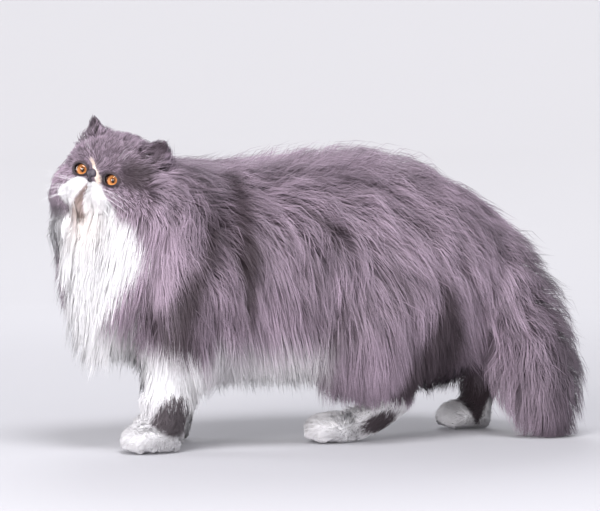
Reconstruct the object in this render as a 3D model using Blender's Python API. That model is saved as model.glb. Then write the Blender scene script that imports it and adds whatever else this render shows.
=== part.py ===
"""A life-size standing long-haired cat, flat-faced, with its head turned to its left.

The cat faces -X and its left side faces -Y. The solids hold the outline of the coat, out
to its tips. The coat is modelled whole, from tubes that follow the trunk, ruff, legs and
tail, and then parted with thin plane cuts into the parts that a person would name.
"""

import math

import bmesh
import bpy
from mathutils import Matrix, Vector

BACK, SIDE, UP = Vector((1, 0, 0)), Vector((0, 1, 0)), Vector((0, 0, 1))

# How the surface is made, metres
RING_POINTS = 28
STEPS_BETWEEN = 4  # rings that are added between two stations of a tube
RING_SQUARENESS = 2.2  # 2 is an ellipse
TRUNK_SQUARENESS = 2.35
MASS_SEGMENTS = 24  # around a rounded mass
BALL_SEGMENTS = 16  # around an eye, the nose or a hollow
VOXEL = 0.0034  # of the one surface that joins the tubes
SMOOTHING = 4
TRIANGLES = 7000  # of the whole coat before it is parted
DETAIL_WEIGHT = 0.00001  # how strongly the face and the paws keep theirs
FACE_REACH = 0.045  # from the eyes, where the coat is thinned least
PAW_TOP = 0.06  # above the floor, below which it is thinned less
SHARP_ANGLE = math.radians(50)

# How it is parted, metres
CUT_GAP = 0.0006  # a thin cut between two parts
EYE_GAP = 0.0005  # clearance of an eye or the nose in its socket
CUT_TRIES = 12  # a cut that would leave a part open is made again, a little wider
CUT_SHIFT = 0.00017
MERGE = 0.00005  # points closer than this are one
KEPT_AFTER_CUTS = 0.68  # of a part's triangles
THINNING_TRIES = 8
THINNING_STEP = 0.04
SOLE_SNAP = 0.0006  # points lower than this lie on the floor
FLOOR_SLAB = 0.1  # thickness of the cutter that levels the soles
ORIGIN_SHIFT = (-0.0141, 0.0)  # brings the origin under the middle of the whole

# The head's own axes: where it looks, its left and its top
EYES_MIDDLE = Vector((-0.2424, -0.0450, 0.2871))
HEAD_FORWARD = Vector((-0.6735, -0.7191, 0.1710)).normalized()
HEAD_LEFT = Vector((0.6602, -0.6893, -0.2984)).normalized()
HEAD_UP = HEAD_FORWARD.cross(HEAD_LEFT)

EYE_RADIUS = 0.0104
EYE_OFFSET = 0.0194  # from the middle of the face
EYE_DEPTH = 0.0092  # of the ball's centre behind the eyes' front

EAR_ROOT = (-0.037, 0.033, 0.030)  # forward, to its side and up from the middle of the eyes
EAR_LEAN = math.radians(24)  # of an ear's axis, away from the middle of the head
EAR_TURN = math.radians(38)  # of its opening, outwards
EAR_HOLLOW = (0.0085, 0.0110, 0.0120)  # half sizes of the hollow: deep, wide, high
EAR_HOLLOW_UP = 0.0165  # of its middle, along the ear
EAR_HOLLOW_OUT = 0.0095  # of its middle, in front of the ear's own axis
# An ear from inside the skull to its tip: (along its axis, half width, half thickness)
EAR = (
    (-0.012, 0.0180, 0.0090),
    (0.004, 0.0175, 0.0085),
    (0.014, 0.0150, 0.0070),
    (0.023, 0.0105, 0.0055),
    (0.031, 0.0045, 0.0035),
)

# Lying tubes of the coat. A station is (x, y, z, half width, half heights above and below)
TRUNK = (
    (-0.235, 0, 0.200, 0.036, 0.040, 0.045),
    (-0.210, 0, 0.203, 0.066, 0.066, 0.084),
    (-0.180, 0, 0.203, 0.090, 0.092, 0.116),
    (-0.140, 0, 0.200, 0.107, 0.108, 0.131),
    (-0.090, 0, 0.190, 0.114, 0.118, 0.126),
    (-0.040, 0, 0.185, 0.118, 0.128, 0.126),
    (0.010, 0, 0.185, 0.119, 0.133, 0.127),
    (0.060, 0, 0.180, 0.120, 0.137, 0.126),
    (0.110, 0, 0.175, 0.118, 0.135, 0.116),
    (0.150, 0, 0.175, 0.108, 0.126, 0.106),
    (0.188, -0.002, 0.182, 0.090, 0.099, 0.090),
    (0.218, -0.006, 0.184, 0.060, 0.070, 0.062),
)
RUFF = (
    (-0.232, -0.020, 0.262, 0.052, 0.036, 0.055),
    (-0.212, -0.014, 0.262, 0.076, 0.050, 0.078),
    (-0.180, -0.006, 0.252, 0.094, 0.060, 0.092),
    (-0.140, 0, 0.237, 0.104, 0.074, 0.092),
    (-0.100, 0, 0.222, 0.108, 0.084, 0.090),
)
TAIL = (
    (0.160, 0, 0.225, 0.050, 0.056, 0.056),
    (0.199, -0.006, 0.203, 0.054, 0.057, 0.058),
    (0.226, -0.018, 0.171, 0.055, 0.059, 0.060),
    (0.243, -0.036, 0.132, 0.054, 0.060, 0.060),
    (0.249, -0.053, 0.094, 0.051, 0.058, 0.058),
    (0.254, -0.066, 0.060, 0.047, 0.052, 0.053),
    (0.262, -0.075, 0.034, 0.041, 0.044, 0.044),
    (0.266, -0.080, 0.010, 0.030, 0.036, 0.036),
)

# Upright tubes. A station is (x, y, z, half width, half depths behind and in front)
BIB = (
    (-0.214, -0.004, 0.262, 0.052, 0.050, 0.040),
    (-0.214, -0.002, 0.225, 0.074, 0.050, 0.049),
    (-0.213, 0, 0.185, 0.080, 0.050, 0.051),
    (-0.210, 0, 0.148, 0.074, 0.050, 0.050),
    (-0.205, 0, 0.112, 0.060, 0.044, 0.045),
    (-0.200, 0, 0.082, 0.036, 0.030, 0.030),
)
FORELEG = (
    (-0.178, 0.062, 0.010, 0.020, 0.022, 0.022),
    (-0.175, 0.062, 0.035, 0.022, 0.024, 0.024),
    (-0.171, 0.061, 0.065, 0.028, 0.031, 0.032),
    (-0.163, 0.059, 0.100, 0.035, 0.038, 0.041),
    (-0.153, 0.056, 0.140, 0.042, 0.045, 0.048),
    (-0.143, 0.050, 0.180, 0.050, 0.050, 0.050),
)
HIND_LEG_LEFT = (
    (0.048, -0.036, 0.017, 0.021, 0.020, 0.020),
    (0.074, -0.038, 0.032, 0.021, 0.020, 0.020),
    (0.092, -0.040, 0.048, 0.023, 0.018, 0.023),
    (0.097, -0.044, 0.076, 0.030, 0.022, 0.036),
    (0.096, -0.052, 0.112, 0.046, 0.040, 0.056),
    (0.086, -0.058, 0.150, 0.052, 0.060, 0.066),
    (0.080, -0.050, 0.190, 0.050, 0.066, 0.066),
)
HIND_LEG_RIGHT = (
    (0.224, 0.041, 0.019, 0.019, 0.018, 0.018),
    (0.236, 0.043, 0.048, 0.020, 0.020, 0.021),
    (0.241, 0.046, 0.078, 0.024, 0.025, 0.030),
    (0.222, 0.050, 0.106, 0.034, 0.036, 0.042),
    (0.190, 0.054, 0.134, 0.044, 0.052, 0.052),
    (0.155, 0.052, 0.165, 0.052, 0.062, 0.060),
    (0.130, 0.045, 0.200, 0.050, 0.062, 0.060),
)

# A paw, from its heel to its toes: (forward of its middle, half width, half heights above and below)
PAW = (
    (-0.026, 0.017, 0.014, 0.015),
    (-0.010, 0.024, 0.020, 0.018),
    (0.009, 0.0275, 0.019, 0.018),
    (0.024, 0.022, 0.014, 0.016),
    (0.033, 0.011, 0.008, 0.010),
)
PAW_HEIGHT = 0.0145  # of the middle of a paw above the floor
PAWS = {
    "forepaw_left": (-0.186, -0.062),
    "forepaw_right": (-0.141, 0.045),
    "hindpaw_left": (0.026, -0.038),
    "hindpaw_right": (0.216, 0.040),
}
FORELEG_RIGHT_BACK = 0.045  # the right foreleg stands this far behind the left one
FORELEG_RIGHT_IN = 0.017  # and this much nearer to the middle

# The head, in its own axes from the middle of the eyes: (forward, half width, half heights above and below)
SKULL = (
    (-0.086, 0.022, 0.020, 0.020),
    (-0.074, 0.040, 0.036, 0.036),
    (-0.056, 0.053, 0.045, 0.046),
    (-0.038, 0.058, 0.046, 0.050),
    (-0.022, 0.053, 0.042, 0.048),
    (-0.010, 0.042, 0.033, 0.042),
    (-0.003, 0.028, 0.021, 0.034),
)
SKULL_RISE = 0.004

# Rounded masses of the face: (forward, left, up), then their radii. Those to the left are mirrored.
CHEEK = ((-0.034, 0.036, -0.022), (0.027, 0.029, 0.027))
BROW = ((-0.012, 0.018, 0.017), (0.013, 0.017, 0.009))
WHISKER_PAD = ((-0.001, 0.0130, -0.0195), (0.0105, 0.0145, 0.0130))
UNDER_EYE = ((-0.006, 0.022, -0.014), (0.010, 0.013, 0.009))
CHIN = ((-0.006, 0, -0.036), (0.011, 0.0130, 0.0100))
NOSE_BRIDGE = ((-0.003, 0, 0.003), (0.009, 0.0075, 0.012))
NOSE_LEATHER = ((0.0065, 0, -0.0035), (0.0038, 0.0058, 0.0042))

# Rounded masses of the body's coat: (middle, radii)
THIGH_RIGHT = ((0.168, 0.055, 0.106), (0.064, 0.050, 0.066))
THIGH_LEFT = ((0.058, -0.060, 0.106), (0.060, 0.052, 0.062))
RUFF_RIGHT = ((-0.230, 0.028, 0.240), (0.044, 0.040, 0.040))

# Boxes that part off the head, in its own axes, and the ears, in theirs
MUZZLE_BOX = ((-0.006, -0.029, -0.052), (0.030, 0.029, -0.0095))
HEAD_BOX = ((-0.060, -0.072, -0.047), (0.040, 0.072, 0.080))
EAR_BOX = ((-0.014, -0.021, 0.0110), (0.016, 0.021, 0.050))

# Where the rest is cut: (part, lowest corner, highest corner), taken in this order
BODY_CUTS = (
    ("forepaw_left", (-0.26, -0.13, -0.05), (-0.127, -0.020, 0.026)),
    ("foreleg_left", (-0.26, -0.13, -0.05), (-0.127, -0.020, 0.066)),
    ("forepaw_right", (-0.22, 0.005, -0.05), (-0.09, 0.13, 0.026)),
    ("foreleg_right", (-0.22, 0.005, -0.05), (-0.09, 0.13, 0.060)),
    ("hindpaw_left", (-0.03, -0.11, -0.05), (0.14, 0.003, 0.027)),
    ("hindleg_left", (-0.03, -0.11, -0.05), (0.14, 0.003, 0.046)),
    ("hindpaw_right", (0.12, 0.014, -0.05), (0.31, 0.13, 0.027)),
    ("hindleg_right", (0.12, 0.014, -0.05), (0.31, 0.13, 0.060)),
    ("thigh_right", (0.112, 0.014, -0.05), (0.31, 0.14, 0.150)),
    ("thigh_left", (0.000, -0.14, 0.030), (0.126, -0.020, 0.165)),
    ("tail_tip", (0.186, -0.15, -0.05), (0.36, 0.060, 0.062)),
    ("tail_middle", (0.186, -0.15, -0.05), (0.36, 0.060, 0.126)),
    ("tail_base", (0.206, -0.09, 0.05), (0.36, 0.070, 0.330)),
    ("rump", (0.105, -0.16, 0.03), (0.36, 0.16, 0.360)),
    ("chest", (-0.32, -0.16, 0.04), (-0.118, 0.16, 0.205)),
    ("neck", (-0.32, -0.16, 0.04), (-0.118, 0.16, 0.400)),
    ("trunk", (-0.32, -0.16, 0.01), (0.360, 0.16, 0.400)),
)

ROUGHNESS = {"eye": 0.15, "nose": 0.5}
PLAIN_ROUGHNESS = 0.8
COLOURS = {
    "blue_coat": (0.235, 0.195, 0.245, 1),
    "white_coat": (0.82, 0.80, 0.83, 1),
    "eye": (0.55, 0.21, 0.05, 1),
    "nose": (0.075, 0.065, 0.09, 1),
}
WHITE_PARTS = ("forepaw", "foreleg", "hindpaw", "hindleg", "chest", "muzzle")


def clear_scene():
    for thing in list(bpy.data.objects):
        bpy.data.objects.remove(thing, do_unlink=True)


def material(slot):
    """The finish of one slot, made once."""
    made = bpy.data.materials.get(slot)
    if made:
        return made
    made = bpy.data.materials.new(slot)
    made.use_nodes = True
    shader = made.node_tree.nodes["Principled BSDF"]
    shader.inputs["Base Color"].default_value = COLOURS[slot]
    shader.inputs["Roughness"].default_value = ROUGHNESS.get(slot, PLAIN_ROUGHNESS)
    shader.inputs["Metallic"].default_value = 0.0
    return made


def slot_of(part):
    if part.startswith("eye"):
        return "eye"
    if part == "nose":
        return "nose"
    return "white_coat" if part.startswith(WHITE_PARTS) else "blue_coat"


def new_object(name, bm, helper=False):
    mesh = bpy.data.meshes.new(name)
    bmesh.ops.recalc_face_normals(bm, faces=bm.faces)
    bm.to_mesh(mesh)
    bm.free()
    made = bpy.data.objects.new(name, mesh)
    bpy.context.scene.collection.objects.link(made)
    if helper:
        made.hide_render = True
        made.display_type = "WIRE"
    return made


def evaluated_mesh(thing):
    """The mesh of an object with its modifiers applied."""
    bpy.context.view_layer.update()
    graph = bpy.context.evaluated_depsgraph_get()
    return bpy.data.meshes.new_from_object(thing.evaluated_get(graph))


def in_head(forward, left, up):
    """A place in the head's own axes, as a place of the whole cat."""
    return EYES_MIDDLE + forward * HEAD_FORWARD + left * HEAD_LEFT + up * HEAD_UP


def eased(before, start, end, after, t):
    """Catmull-Rom value between two stations."""
    return [
        0.5 * (2 * b + (c - a) * t + (2 * a - 5 * b + 4 * c - d) * t**2 + (3 * b - a - 3 * c + d) * t**3)
        for a, b, c, d in zip(before, start, end, after)
    ]


def filled_in(stations):
    """The stations with rings added between them on a smooth curve."""
    rows = []
    last = len(stations) - 1
    for i in range(last):
        around = [stations[min(max(j, 0), last)] for j in (i - 1, i, i + 1, i + 2)]
        rows += [eased(*around, step / STEPS_BETWEEN) for step in range(STEPS_BETWEEN)]
    return rows + [list(stations[last])]


def squared(value, squareness):
    """A cosine or sine drawn out towards a squarer ring."""
    return math.copysign(abs(value) ** (2 / squareness), value)


def add_tube(bm, stations, sideways, squareness=RING_SQUARENESS):
    """A closed tube through the stations, each ring square to the path."""
    rows = filled_in(stations)
    middles = [Vector(row[:3]) for row in rows]
    rings = []
    for i, row in enumerate(rows):
        along = (middles[min(i + 1, len(rows) - 1)] - middles[max(i - 1, 0)]).normalized()
        side = (sideways - sideways.dot(along) * along).normalized()
        above = side.cross(along)
        if above.dot(UP + BACK / 2) < 0:
            above = -above
        ring = []
        for k in range(RING_POINTS):
            angle = 2 * math.pi * k / RING_POINTS
            across = squared(math.cos(angle), squareness)
            height = squared(math.sin(angle), squareness)
            reach = row[4] if height > 0 else row[5]
            ring.append(bm.verts.new(middles[i] + side * row[3] * across + above * reach * height))
        rings.append(ring)
    for first, second in zip(rings, rings[1:]):
        for k in range(RING_POINTS):
            after = (k + 1) % RING_POINTS
            bm.faces.new((first[k], first[after], second[after], second[k]))
    bm.faces.new(rings[0])
    bm.faces.new(reversed(rings[-1]))


def placed(middle, axes, sizes):
    """The matrix that gives a unit shape the axes and sizes, around its middle."""
    turn = Matrix([axis * size for axis, size in zip(axes, sizes)]).transposed().to_4x4()
    return Matrix.Translation(middle) @ turn


def add_mass(bm, middle, axes, radii, segments=MASS_SEGMENTS):
    """An ellipsoid with the given axes."""
    rings = segments // 2 + 2
    matrix = placed(middle, axes, radii)
    bmesh.ops.create_uvsphere(bm, u_segments=segments, v_segments=rings, radius=1, matrix=matrix)


def add_head_mass(bm, mass):
    """A rounded mass of the face, and its mirror image if it lies to one side."""
    (forward, left, up), radii = mass
    for side in (1, -1) if left else (1,):
        add_mass(bm, in_head(forward, side * left, up), (HEAD_FORWARD, HEAD_LEFT, HEAD_UP), radii)


def ear_axes(side):
    """(root, the way it points, the way it opens, its width) of an ear. side is 1 for the left one."""
    forward, outward, up = EAR_ROOT
    root = in_head(forward, side * outward, up)
    points = (HEAD_UP * math.cos(EAR_LEAN) + HEAD_LEFT * side * math.sin(EAR_LEAN)).normalized()
    opens = HEAD_FORWARD * math.cos(EAR_TURN) + HEAD_LEFT * side * math.sin(EAR_TURN)
    opens = (opens - opens.dot(points) * points).normalized()
    return root, points, opens, points.cross(opens)


def add_ear(bm, side):
    """A small round-tipped ear, as a tube from inside the skull to its tip."""
    root, points, _, across = ear_axes(side)
    stations = [(*(root + points * along), half, thick, thick) for along, half, thick in EAR]
    add_tube(bm, stations, across)


def paw_stations(middle_x, y):
    return [(middle_x - forward, y, PAW_HEIGHT, *sizes) for forward, *sizes in PAW]


def foreleg(side, back=0.0, inward=0.0):
    """The stations of a foreleg. side is 1 for the right one."""
    return [(x + back, side * (y - inward), z, *sizes) for x, y, z, *sizes in FORELEG]


def whole_coat():
    """The coat's outline as one surface."""
    bm = bmesh.new()
    add_tube(bm, TRUNK, SIDE, TRUNK_SQUARENESS)
    add_tube(bm, RUFF, SIDE)
    add_tube(bm, BIB, SIDE)
    add_tube(bm, TAIL, SIDE)
    add_tube(bm, foreleg(-1), SIDE)
    add_tube(bm, foreleg(1, FORELEG_RIGHT_BACK, FORELEG_RIGHT_IN), SIDE)
    add_tube(bm, HIND_LEG_LEFT, SIDE)
    add_tube(bm, HIND_LEG_RIGHT, SIDE)
    for middle, radii in (THIGH_LEFT, THIGH_RIGHT, RUFF_RIGHT):
        add_mass(bm, Vector(middle), (BACK, SIDE, UP), radii)
    for x, y in PAWS.values():
        add_tube(bm, paw_stations(x, y), SIDE)
    skull = [(*in_head(forward, 0, SKULL_RISE), *sizes) for forward, *sizes in SKULL]
    add_tube(bm, skull, HEAD_LEFT)
    for mass in (CHEEK, BROW, WHISKER_PAD, UNDER_EYE, CHIN, NOSE_BRIDGE):
        add_head_mass(bm, mass)
    for side in (1, -1):
        add_ear(bm, side)
    whole = new_object("whole_coat", bm, helper=True)

    remesh = whole.modifiers.new("one skin", "REMESH")
    remesh.mode = "VOXEL"
    remesh.voxel_size = VOXEL
    smooth = whole.modifiers.new("soften joins", "SMOOTH")
    smooth.factor = 0.5
    smooth.iterations = SMOOTHING
    return whole


def thinned(mesh, triangles):
    """The mesh with about the given number of triangles, finest on the face and the paws."""
    holder = bpy.data.objects.new("thinned", mesh)
    bpy.context.scene.collection.objects.link(holder)
    group = holder.vertex_groups.new(name="plain")
    for vert in mesh.vertices:
        near_face = min(1.0, 2 - (vert.co - EYES_MIDDLE).length / FACE_REACH)
        near_floor = min(0.5, 1 - vert.co.z / PAW_TOP)
        group.add([vert.index], 1 - max(0.0, near_face, near_floor), "REPLACE")
    thin = holder.modifiers.new("thin out", "DECIMATE")
    thin.ratio = triangles / len(mesh.polygons)
    thin.vertex_group = group.name
    thin.vertex_group_factor = DETAIL_WEIGHT
    made = evaluated_mesh(holder)
    bpy.data.objects.remove(holder)
    return made


def box_cutter(name, lowest, highest, axes=(BACK, SIDE, UP), origin=Vector()):
    """A box between two corners, given in the axes, from the origin."""
    low, high = Vector(lowest), Vector(highest)
    middle, half = (low + high) / 2, (high - low) / 2
    place = origin + sum((axis * m for axis, m in zip(axes, middle)), Vector())
    bm = bmesh.new()
    bmesh.ops.create_cube(bm, size=2, matrix=placed(place, axes, half))
    return new_object(name, bm, helper=True)


def combined(mesh, cutter, operation):
    """A new mesh: the given one intersected with the cutter, or without it."""
    holder = bpy.data.objects.new("holder", mesh)
    bpy.context.scene.collection.objects.link(holder)
    holder.hide_render = True
    holder.display_type = "WIRE"
    boolean = holder.modifiers.new("cut", "BOOLEAN")
    boolean.operation = operation
    boolean.object = cutter
    made = evaluated_mesh(holder)
    bpy.data.objects.remove(holder)
    return made


def largest_body(mesh):
    """Leaves the largest of the closed bodies in a mesh."""
    bm = bmesh.new()
    bm.from_mesh(mesh)
    found, bodies = set(), []
    for start in bm.verts:
        if start in found:
            continue
        found.add(start)
        body = [start]
        for vert in body:
            for edge in vert.link_edges:
                other = edge.other_vert(vert)
                if other not in found:
                    found.add(other)
                    body.append(other)
        bodies.append(body)
    bodies.sort(key=len)
    for body in bodies[:-1]:
        bmesh.ops.delete(bm, geom=body, context="VERTS")
    bm.to_mesh(mesh)
    bm.free()
    return mesh


def is_closed(mesh):
    bm = bmesh.new()
    bm.from_mesh(mesh)
    closed = all(len(edge.link_faces) == 2 for edge in bm.edges)
    bm.free()
    return closed


def tidied(mesh):
    """The mesh in triangles, with the tiny edges that a cut leaves taken out."""
    bm = bmesh.new()
    bm.from_mesh(mesh)
    bmesh.ops.remove_doubles(bm, verts=bm.verts, dist=MERGE)
    bmesh.ops.dissolve_degenerate(bm, edges=bm.edges, dist=MERGE)
    bmesh.ops.triangulate(bm, faces=bm.faces)
    bm.to_mesh(mesh)
    bm.free()
    return mesh


def lightened(mesh):
    """The mesh with the crowded triangles along its cuts thinned out, as far as it stays closed."""
    for attempt in range(THINNING_TRIES):
        holder = bpy.data.objects.new("lightened", mesh)
        bpy.context.scene.collection.objects.link(holder)
        thin = holder.modifiers.new("thin out", "DECIMATE")
        thin.ratio = min(1.0, KEPT_AFTER_CUTS + THINNING_STEP * attempt)
        made = evaluated_mesh(holder)
        bpy.data.objects.remove(holder)
        if is_closed(made):
            return made
    return mesh


def add_part(name, mesh):
    """A finished node of the coat, with any sole flat on the floor."""
    mesh = lightened(mesh)
    mesh.name = name
    for vert in mesh.vertices:
        if vert.co.z < SOLE_SNAP:
            vert.co.z = 0
    part = bpy.data.objects.new(name, mesh)
    bpy.context.scene.collection.objects.link(part)
    mesh.materials.clear()
    mesh.materials.append(material(slot_of(name)))
    mesh.shade_smooth()
    mesh.set_sharp_from_angle(angle=SHARP_ANGLE)


def grown(lowest, highest, by):
    return [low - by for low in lowest], [high + by for high in highest]


def part_off(mesh, name, lowest, highest, axes=(BACK, SIDE, UP), origin=Vector()):
    """Makes a node of what lies in the box, and returns the rest, with a thin gap between them."""
    for attempt in range(CUT_TRIES):
        low, high = grown(lowest, highest, attempt * CUT_SHIFT)
        cutter = box_cutter("cut_" + name, low, high, axes, origin)
        wide = box_cutter("clear_" + name, *grown(low, high, CUT_GAP), axes, origin)
        part = tidied(largest_body(combined(mesh, cutter, "INTERSECT")))
        rest = tidied(combined(mesh, wide, "DIFFERENCE"))
        for helper in (cutter, wide):
            bpy.data.objects.remove(helper)
        if is_closed(part) and is_closed(rest):
            break
    add_part(name, part)
    return rest


def ellipsoid_object(name, middle, axes, radii, helper=False):
    bm = bmesh.new()
    add_mass(bm, middle, axes, radii, BALL_SEGMENTS)
    return new_object(name, bm, helper)


def ear_hollow(side):
    """The cutter that opens an ear towards its front."""
    root, points, opens, across = ear_axes(side)
    middle = root + points * EAR_HOLLOW_UP + opens * EAR_HOLLOW_OUT
    name = "ear_hollow_left" if side > 0 else "ear_hollow_right"
    return ellipsoid_object(name, middle, (opens, across, points), EAR_HOLLOW, helper=True)


def eye_and_nose_sockets(mesh):
    """Adds the eyes and the nose leather, and returns the head with their sockets cut."""
    head_axes = (HEAD_FORWARD, HEAD_LEFT, HEAD_UP)
    pieces = {
        "eye_left": (in_head(-EYE_DEPTH, EYE_OFFSET, 0), (EYE_RADIUS,) * 3),
        "eye_right": (in_head(-EYE_DEPTH, -EYE_OFFSET, 0), (EYE_RADIUS,) * 3),
        "nose": (in_head(*NOSE_LEATHER[0]), NOSE_LEATHER[1]),
    }
    for name, (middle, radii) in pieces.items():
        piece = ellipsoid_object(name, middle, head_axes, radii)
        piece.data.materials.append(material(slot_of(name)))
        piece.data.shade_smooth()
        wide = [radius + EYE_GAP for radius in radii]
        socket = ellipsoid_object("socket_" + name, middle, head_axes, wide, helper=True)
        mesh = combined(mesh, socket, "DIFFERENCE")
        bpy.data.objects.remove(socket)
    return mesh


def cut_head(mesh):
    """Parts off the ears, muzzle and head, and returns what is left of the whole."""
    head_axes = (HEAD_FORWARD, HEAD_LEFT, HEAD_UP)
    for side, name in ((1, "ear_left"), (-1, "ear_right")):
        root, points, opens, across = ear_axes(side)
        mesh = part_off(mesh, name, *EAR_BOX, (opens, across, points), root)
    mesh = eye_and_nose_sockets(mesh)
    mesh = part_off(mesh, "muzzle", *MUZZLE_BOX, head_axes, EYES_MIDDLE)
    return part_off(mesh, "head", *HEAD_BOX, head_axes, EYES_MIDDLE)


def stand_at_origin():
    """Moves every part so that the origin lies under the middle of the whole."""
    for thing in bpy.context.scene.objects:
        if not thing.hide_render:
            thing.data.transform(Matrix.Translation((*ORIGIN_SHIFT, 0)))


def build():
    clear_scene()
    whole = whole_coat()
    mesh = evaluated_mesh(whole)
    for side in (1, -1):
        mesh = combined(mesh, ear_hollow(side), "DIFFERENCE")
    mesh = thinned(tidied(mesh), TRIANGLES)
    floor = box_cutter("floor_cutter", (-1, -1, -FLOOR_SLAB), (1, 1, 0))
    mesh = combined(mesh, floor, "DIFFERENCE")
    bpy.data.objects.remove(floor)
    bpy.data.objects.remove(whole)
    mesh = cut_head(mesh)
    for name, lowest, highest in BODY_CUTS:
        mesh = part_off(mesh, name, lowest, highest)
    stand_at_origin()


build()
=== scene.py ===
import math

import bmesh
import bpy
import numpy as np
from mathutils import Matrix, Vector, noise
from mathutils.bvhtree import BVHTree
from mathutils.kdtree import KDTree


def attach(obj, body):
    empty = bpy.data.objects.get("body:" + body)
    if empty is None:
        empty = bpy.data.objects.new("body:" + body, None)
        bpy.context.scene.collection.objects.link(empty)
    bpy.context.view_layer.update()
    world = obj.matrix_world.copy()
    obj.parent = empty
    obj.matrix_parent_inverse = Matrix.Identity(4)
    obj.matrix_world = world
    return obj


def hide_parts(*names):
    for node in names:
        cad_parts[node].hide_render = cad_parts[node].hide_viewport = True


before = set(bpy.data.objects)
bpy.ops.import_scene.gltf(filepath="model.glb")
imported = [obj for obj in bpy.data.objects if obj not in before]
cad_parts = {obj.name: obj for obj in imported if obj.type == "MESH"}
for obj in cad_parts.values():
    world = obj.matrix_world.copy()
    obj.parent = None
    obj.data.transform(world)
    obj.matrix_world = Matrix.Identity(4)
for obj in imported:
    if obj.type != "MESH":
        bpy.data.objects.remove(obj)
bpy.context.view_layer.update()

dice = np.random.default_rng(41)

# The cat stands along X and faces -X, its left side is towards -Y. Lengths are in metres.
eyesMiddle = Vector((-0.2565, -0.0450, 0.2871))
headForward = Vector((-0.6735, -0.7191, 0.1710)).normalized()
headLeft = Vector((0.6602, -0.6893, -0.2984)).normalized()
headUp = headForward.cross(headLeft)
headAxes = np.array((headForward, headLeft, headUp))
worldAxes = ((1, 0, 0), (0, 1, 0), (0, 0, 1))
sideWays = Vector((0, 1, 0))

cameraView = {
    "place": (-0.9451, -2.4260, 0.2900),
    "aim": (-0.0141, 0.0, 0.1990),
    "lens": 144.456,
    "sensor": 36.0,
}

stageLook = {
    "floorRadius": 2.6,
    "bowlRadius": 4.4,
    "bowlHeight": 3.4,
    "colour": (0.310, 0.306, 0.328, 1),
    "glow": (0.475, 0.470, 0.482, 1),
    "glowFrom": 0.3,
    "glowTo": 3.7,
}

# Each lamp: place, aim, size, watts, colour, whether it casts shadows
lamps = {
    "lampKey": ((-2.2, -2.1, 1.55), (-0.05, 0, 0.15), 1.6, 99, (1.0, 0.985, 0.97), True),
    "lampSoft": ((-1.5, -2.3, 1.1), (-0.05, 0, 0.15), 1.6, 44, (1.0, 0.99, 0.98), False),
    "lampFill": ((1.9, -2.4, 1.3), (0.05, 0, 0.15), 2.0, 33, (0.95, 0.97, 1.0), True),
    "lampTop": ((-0.2, -1.3, 2.6), (0, 0, 0.1), 1.3, 98, (0.99, 0.99, 1.0), True),
    "lampFar": ((-2.3, 1.5, 0.9), (-0.2, 0, 0.2), 1.4, 46, (0.98, 0.98, 1.0), True),
    "lampBack": ((0.8, 2.4, 1.9), (0, 0, 0.2), 1.8, 46, (0.97, 0.98, 1.0), True),
}


def addObject(name, data):
    thing = bpy.data.objects.new(name, data)
    bpy.context.scene.collection.objects.link(thing)
    return thing


def newObject(name, bm):
    mesh = bpy.data.meshes.new(name)
    bm.to_mesh(mesh)
    bm.free()
    return addObject(name, mesh)


def setInputs(tree, node, inputs):
    # Each input takes a value, or a link where a socket is given.
    for key, value in inputs.items():
        if isinstance(value, bpy.types.NodeSocket):
            tree.links.new(value, node.inputs[key])
        else:
            node.inputs[key].default_value = value


def addNode(tree, kind, inputs, **settings):
    node = tree.nodes.new("ShaderNode" + kind)
    for key, value in settings.items():
        setattr(node, key, value)
    setInputs(tree, node, inputs)
    return node


def blended(tree, share, first, second):
    return addNode(tree, "Mix", {0: share, 6: first, 7: second}, data_type="RGBA").outputs[2]


def newLook(name):
    look = bpy.data.materials.new(name)
    look.use_nodes = True
    return look, look.node_tree, look.node_tree.nodes["Principled BSDF"]


def makeCamera():
    data = bpy.data.cameras.new("camera")
    data.lens = cameraView["lens"]
    data.sensor_width = cameraView["sensor"]
    data.clip_end = 30
    camera = addObject("camera", data)
    camera.location = cameraView["place"]
    aim = Vector(cameraView["aim"]) - camera.location
    camera.rotation_euler = aim.to_track_quat("-Z", "Y").to_euler()
    bpy.context.scene.camera = camera


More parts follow.
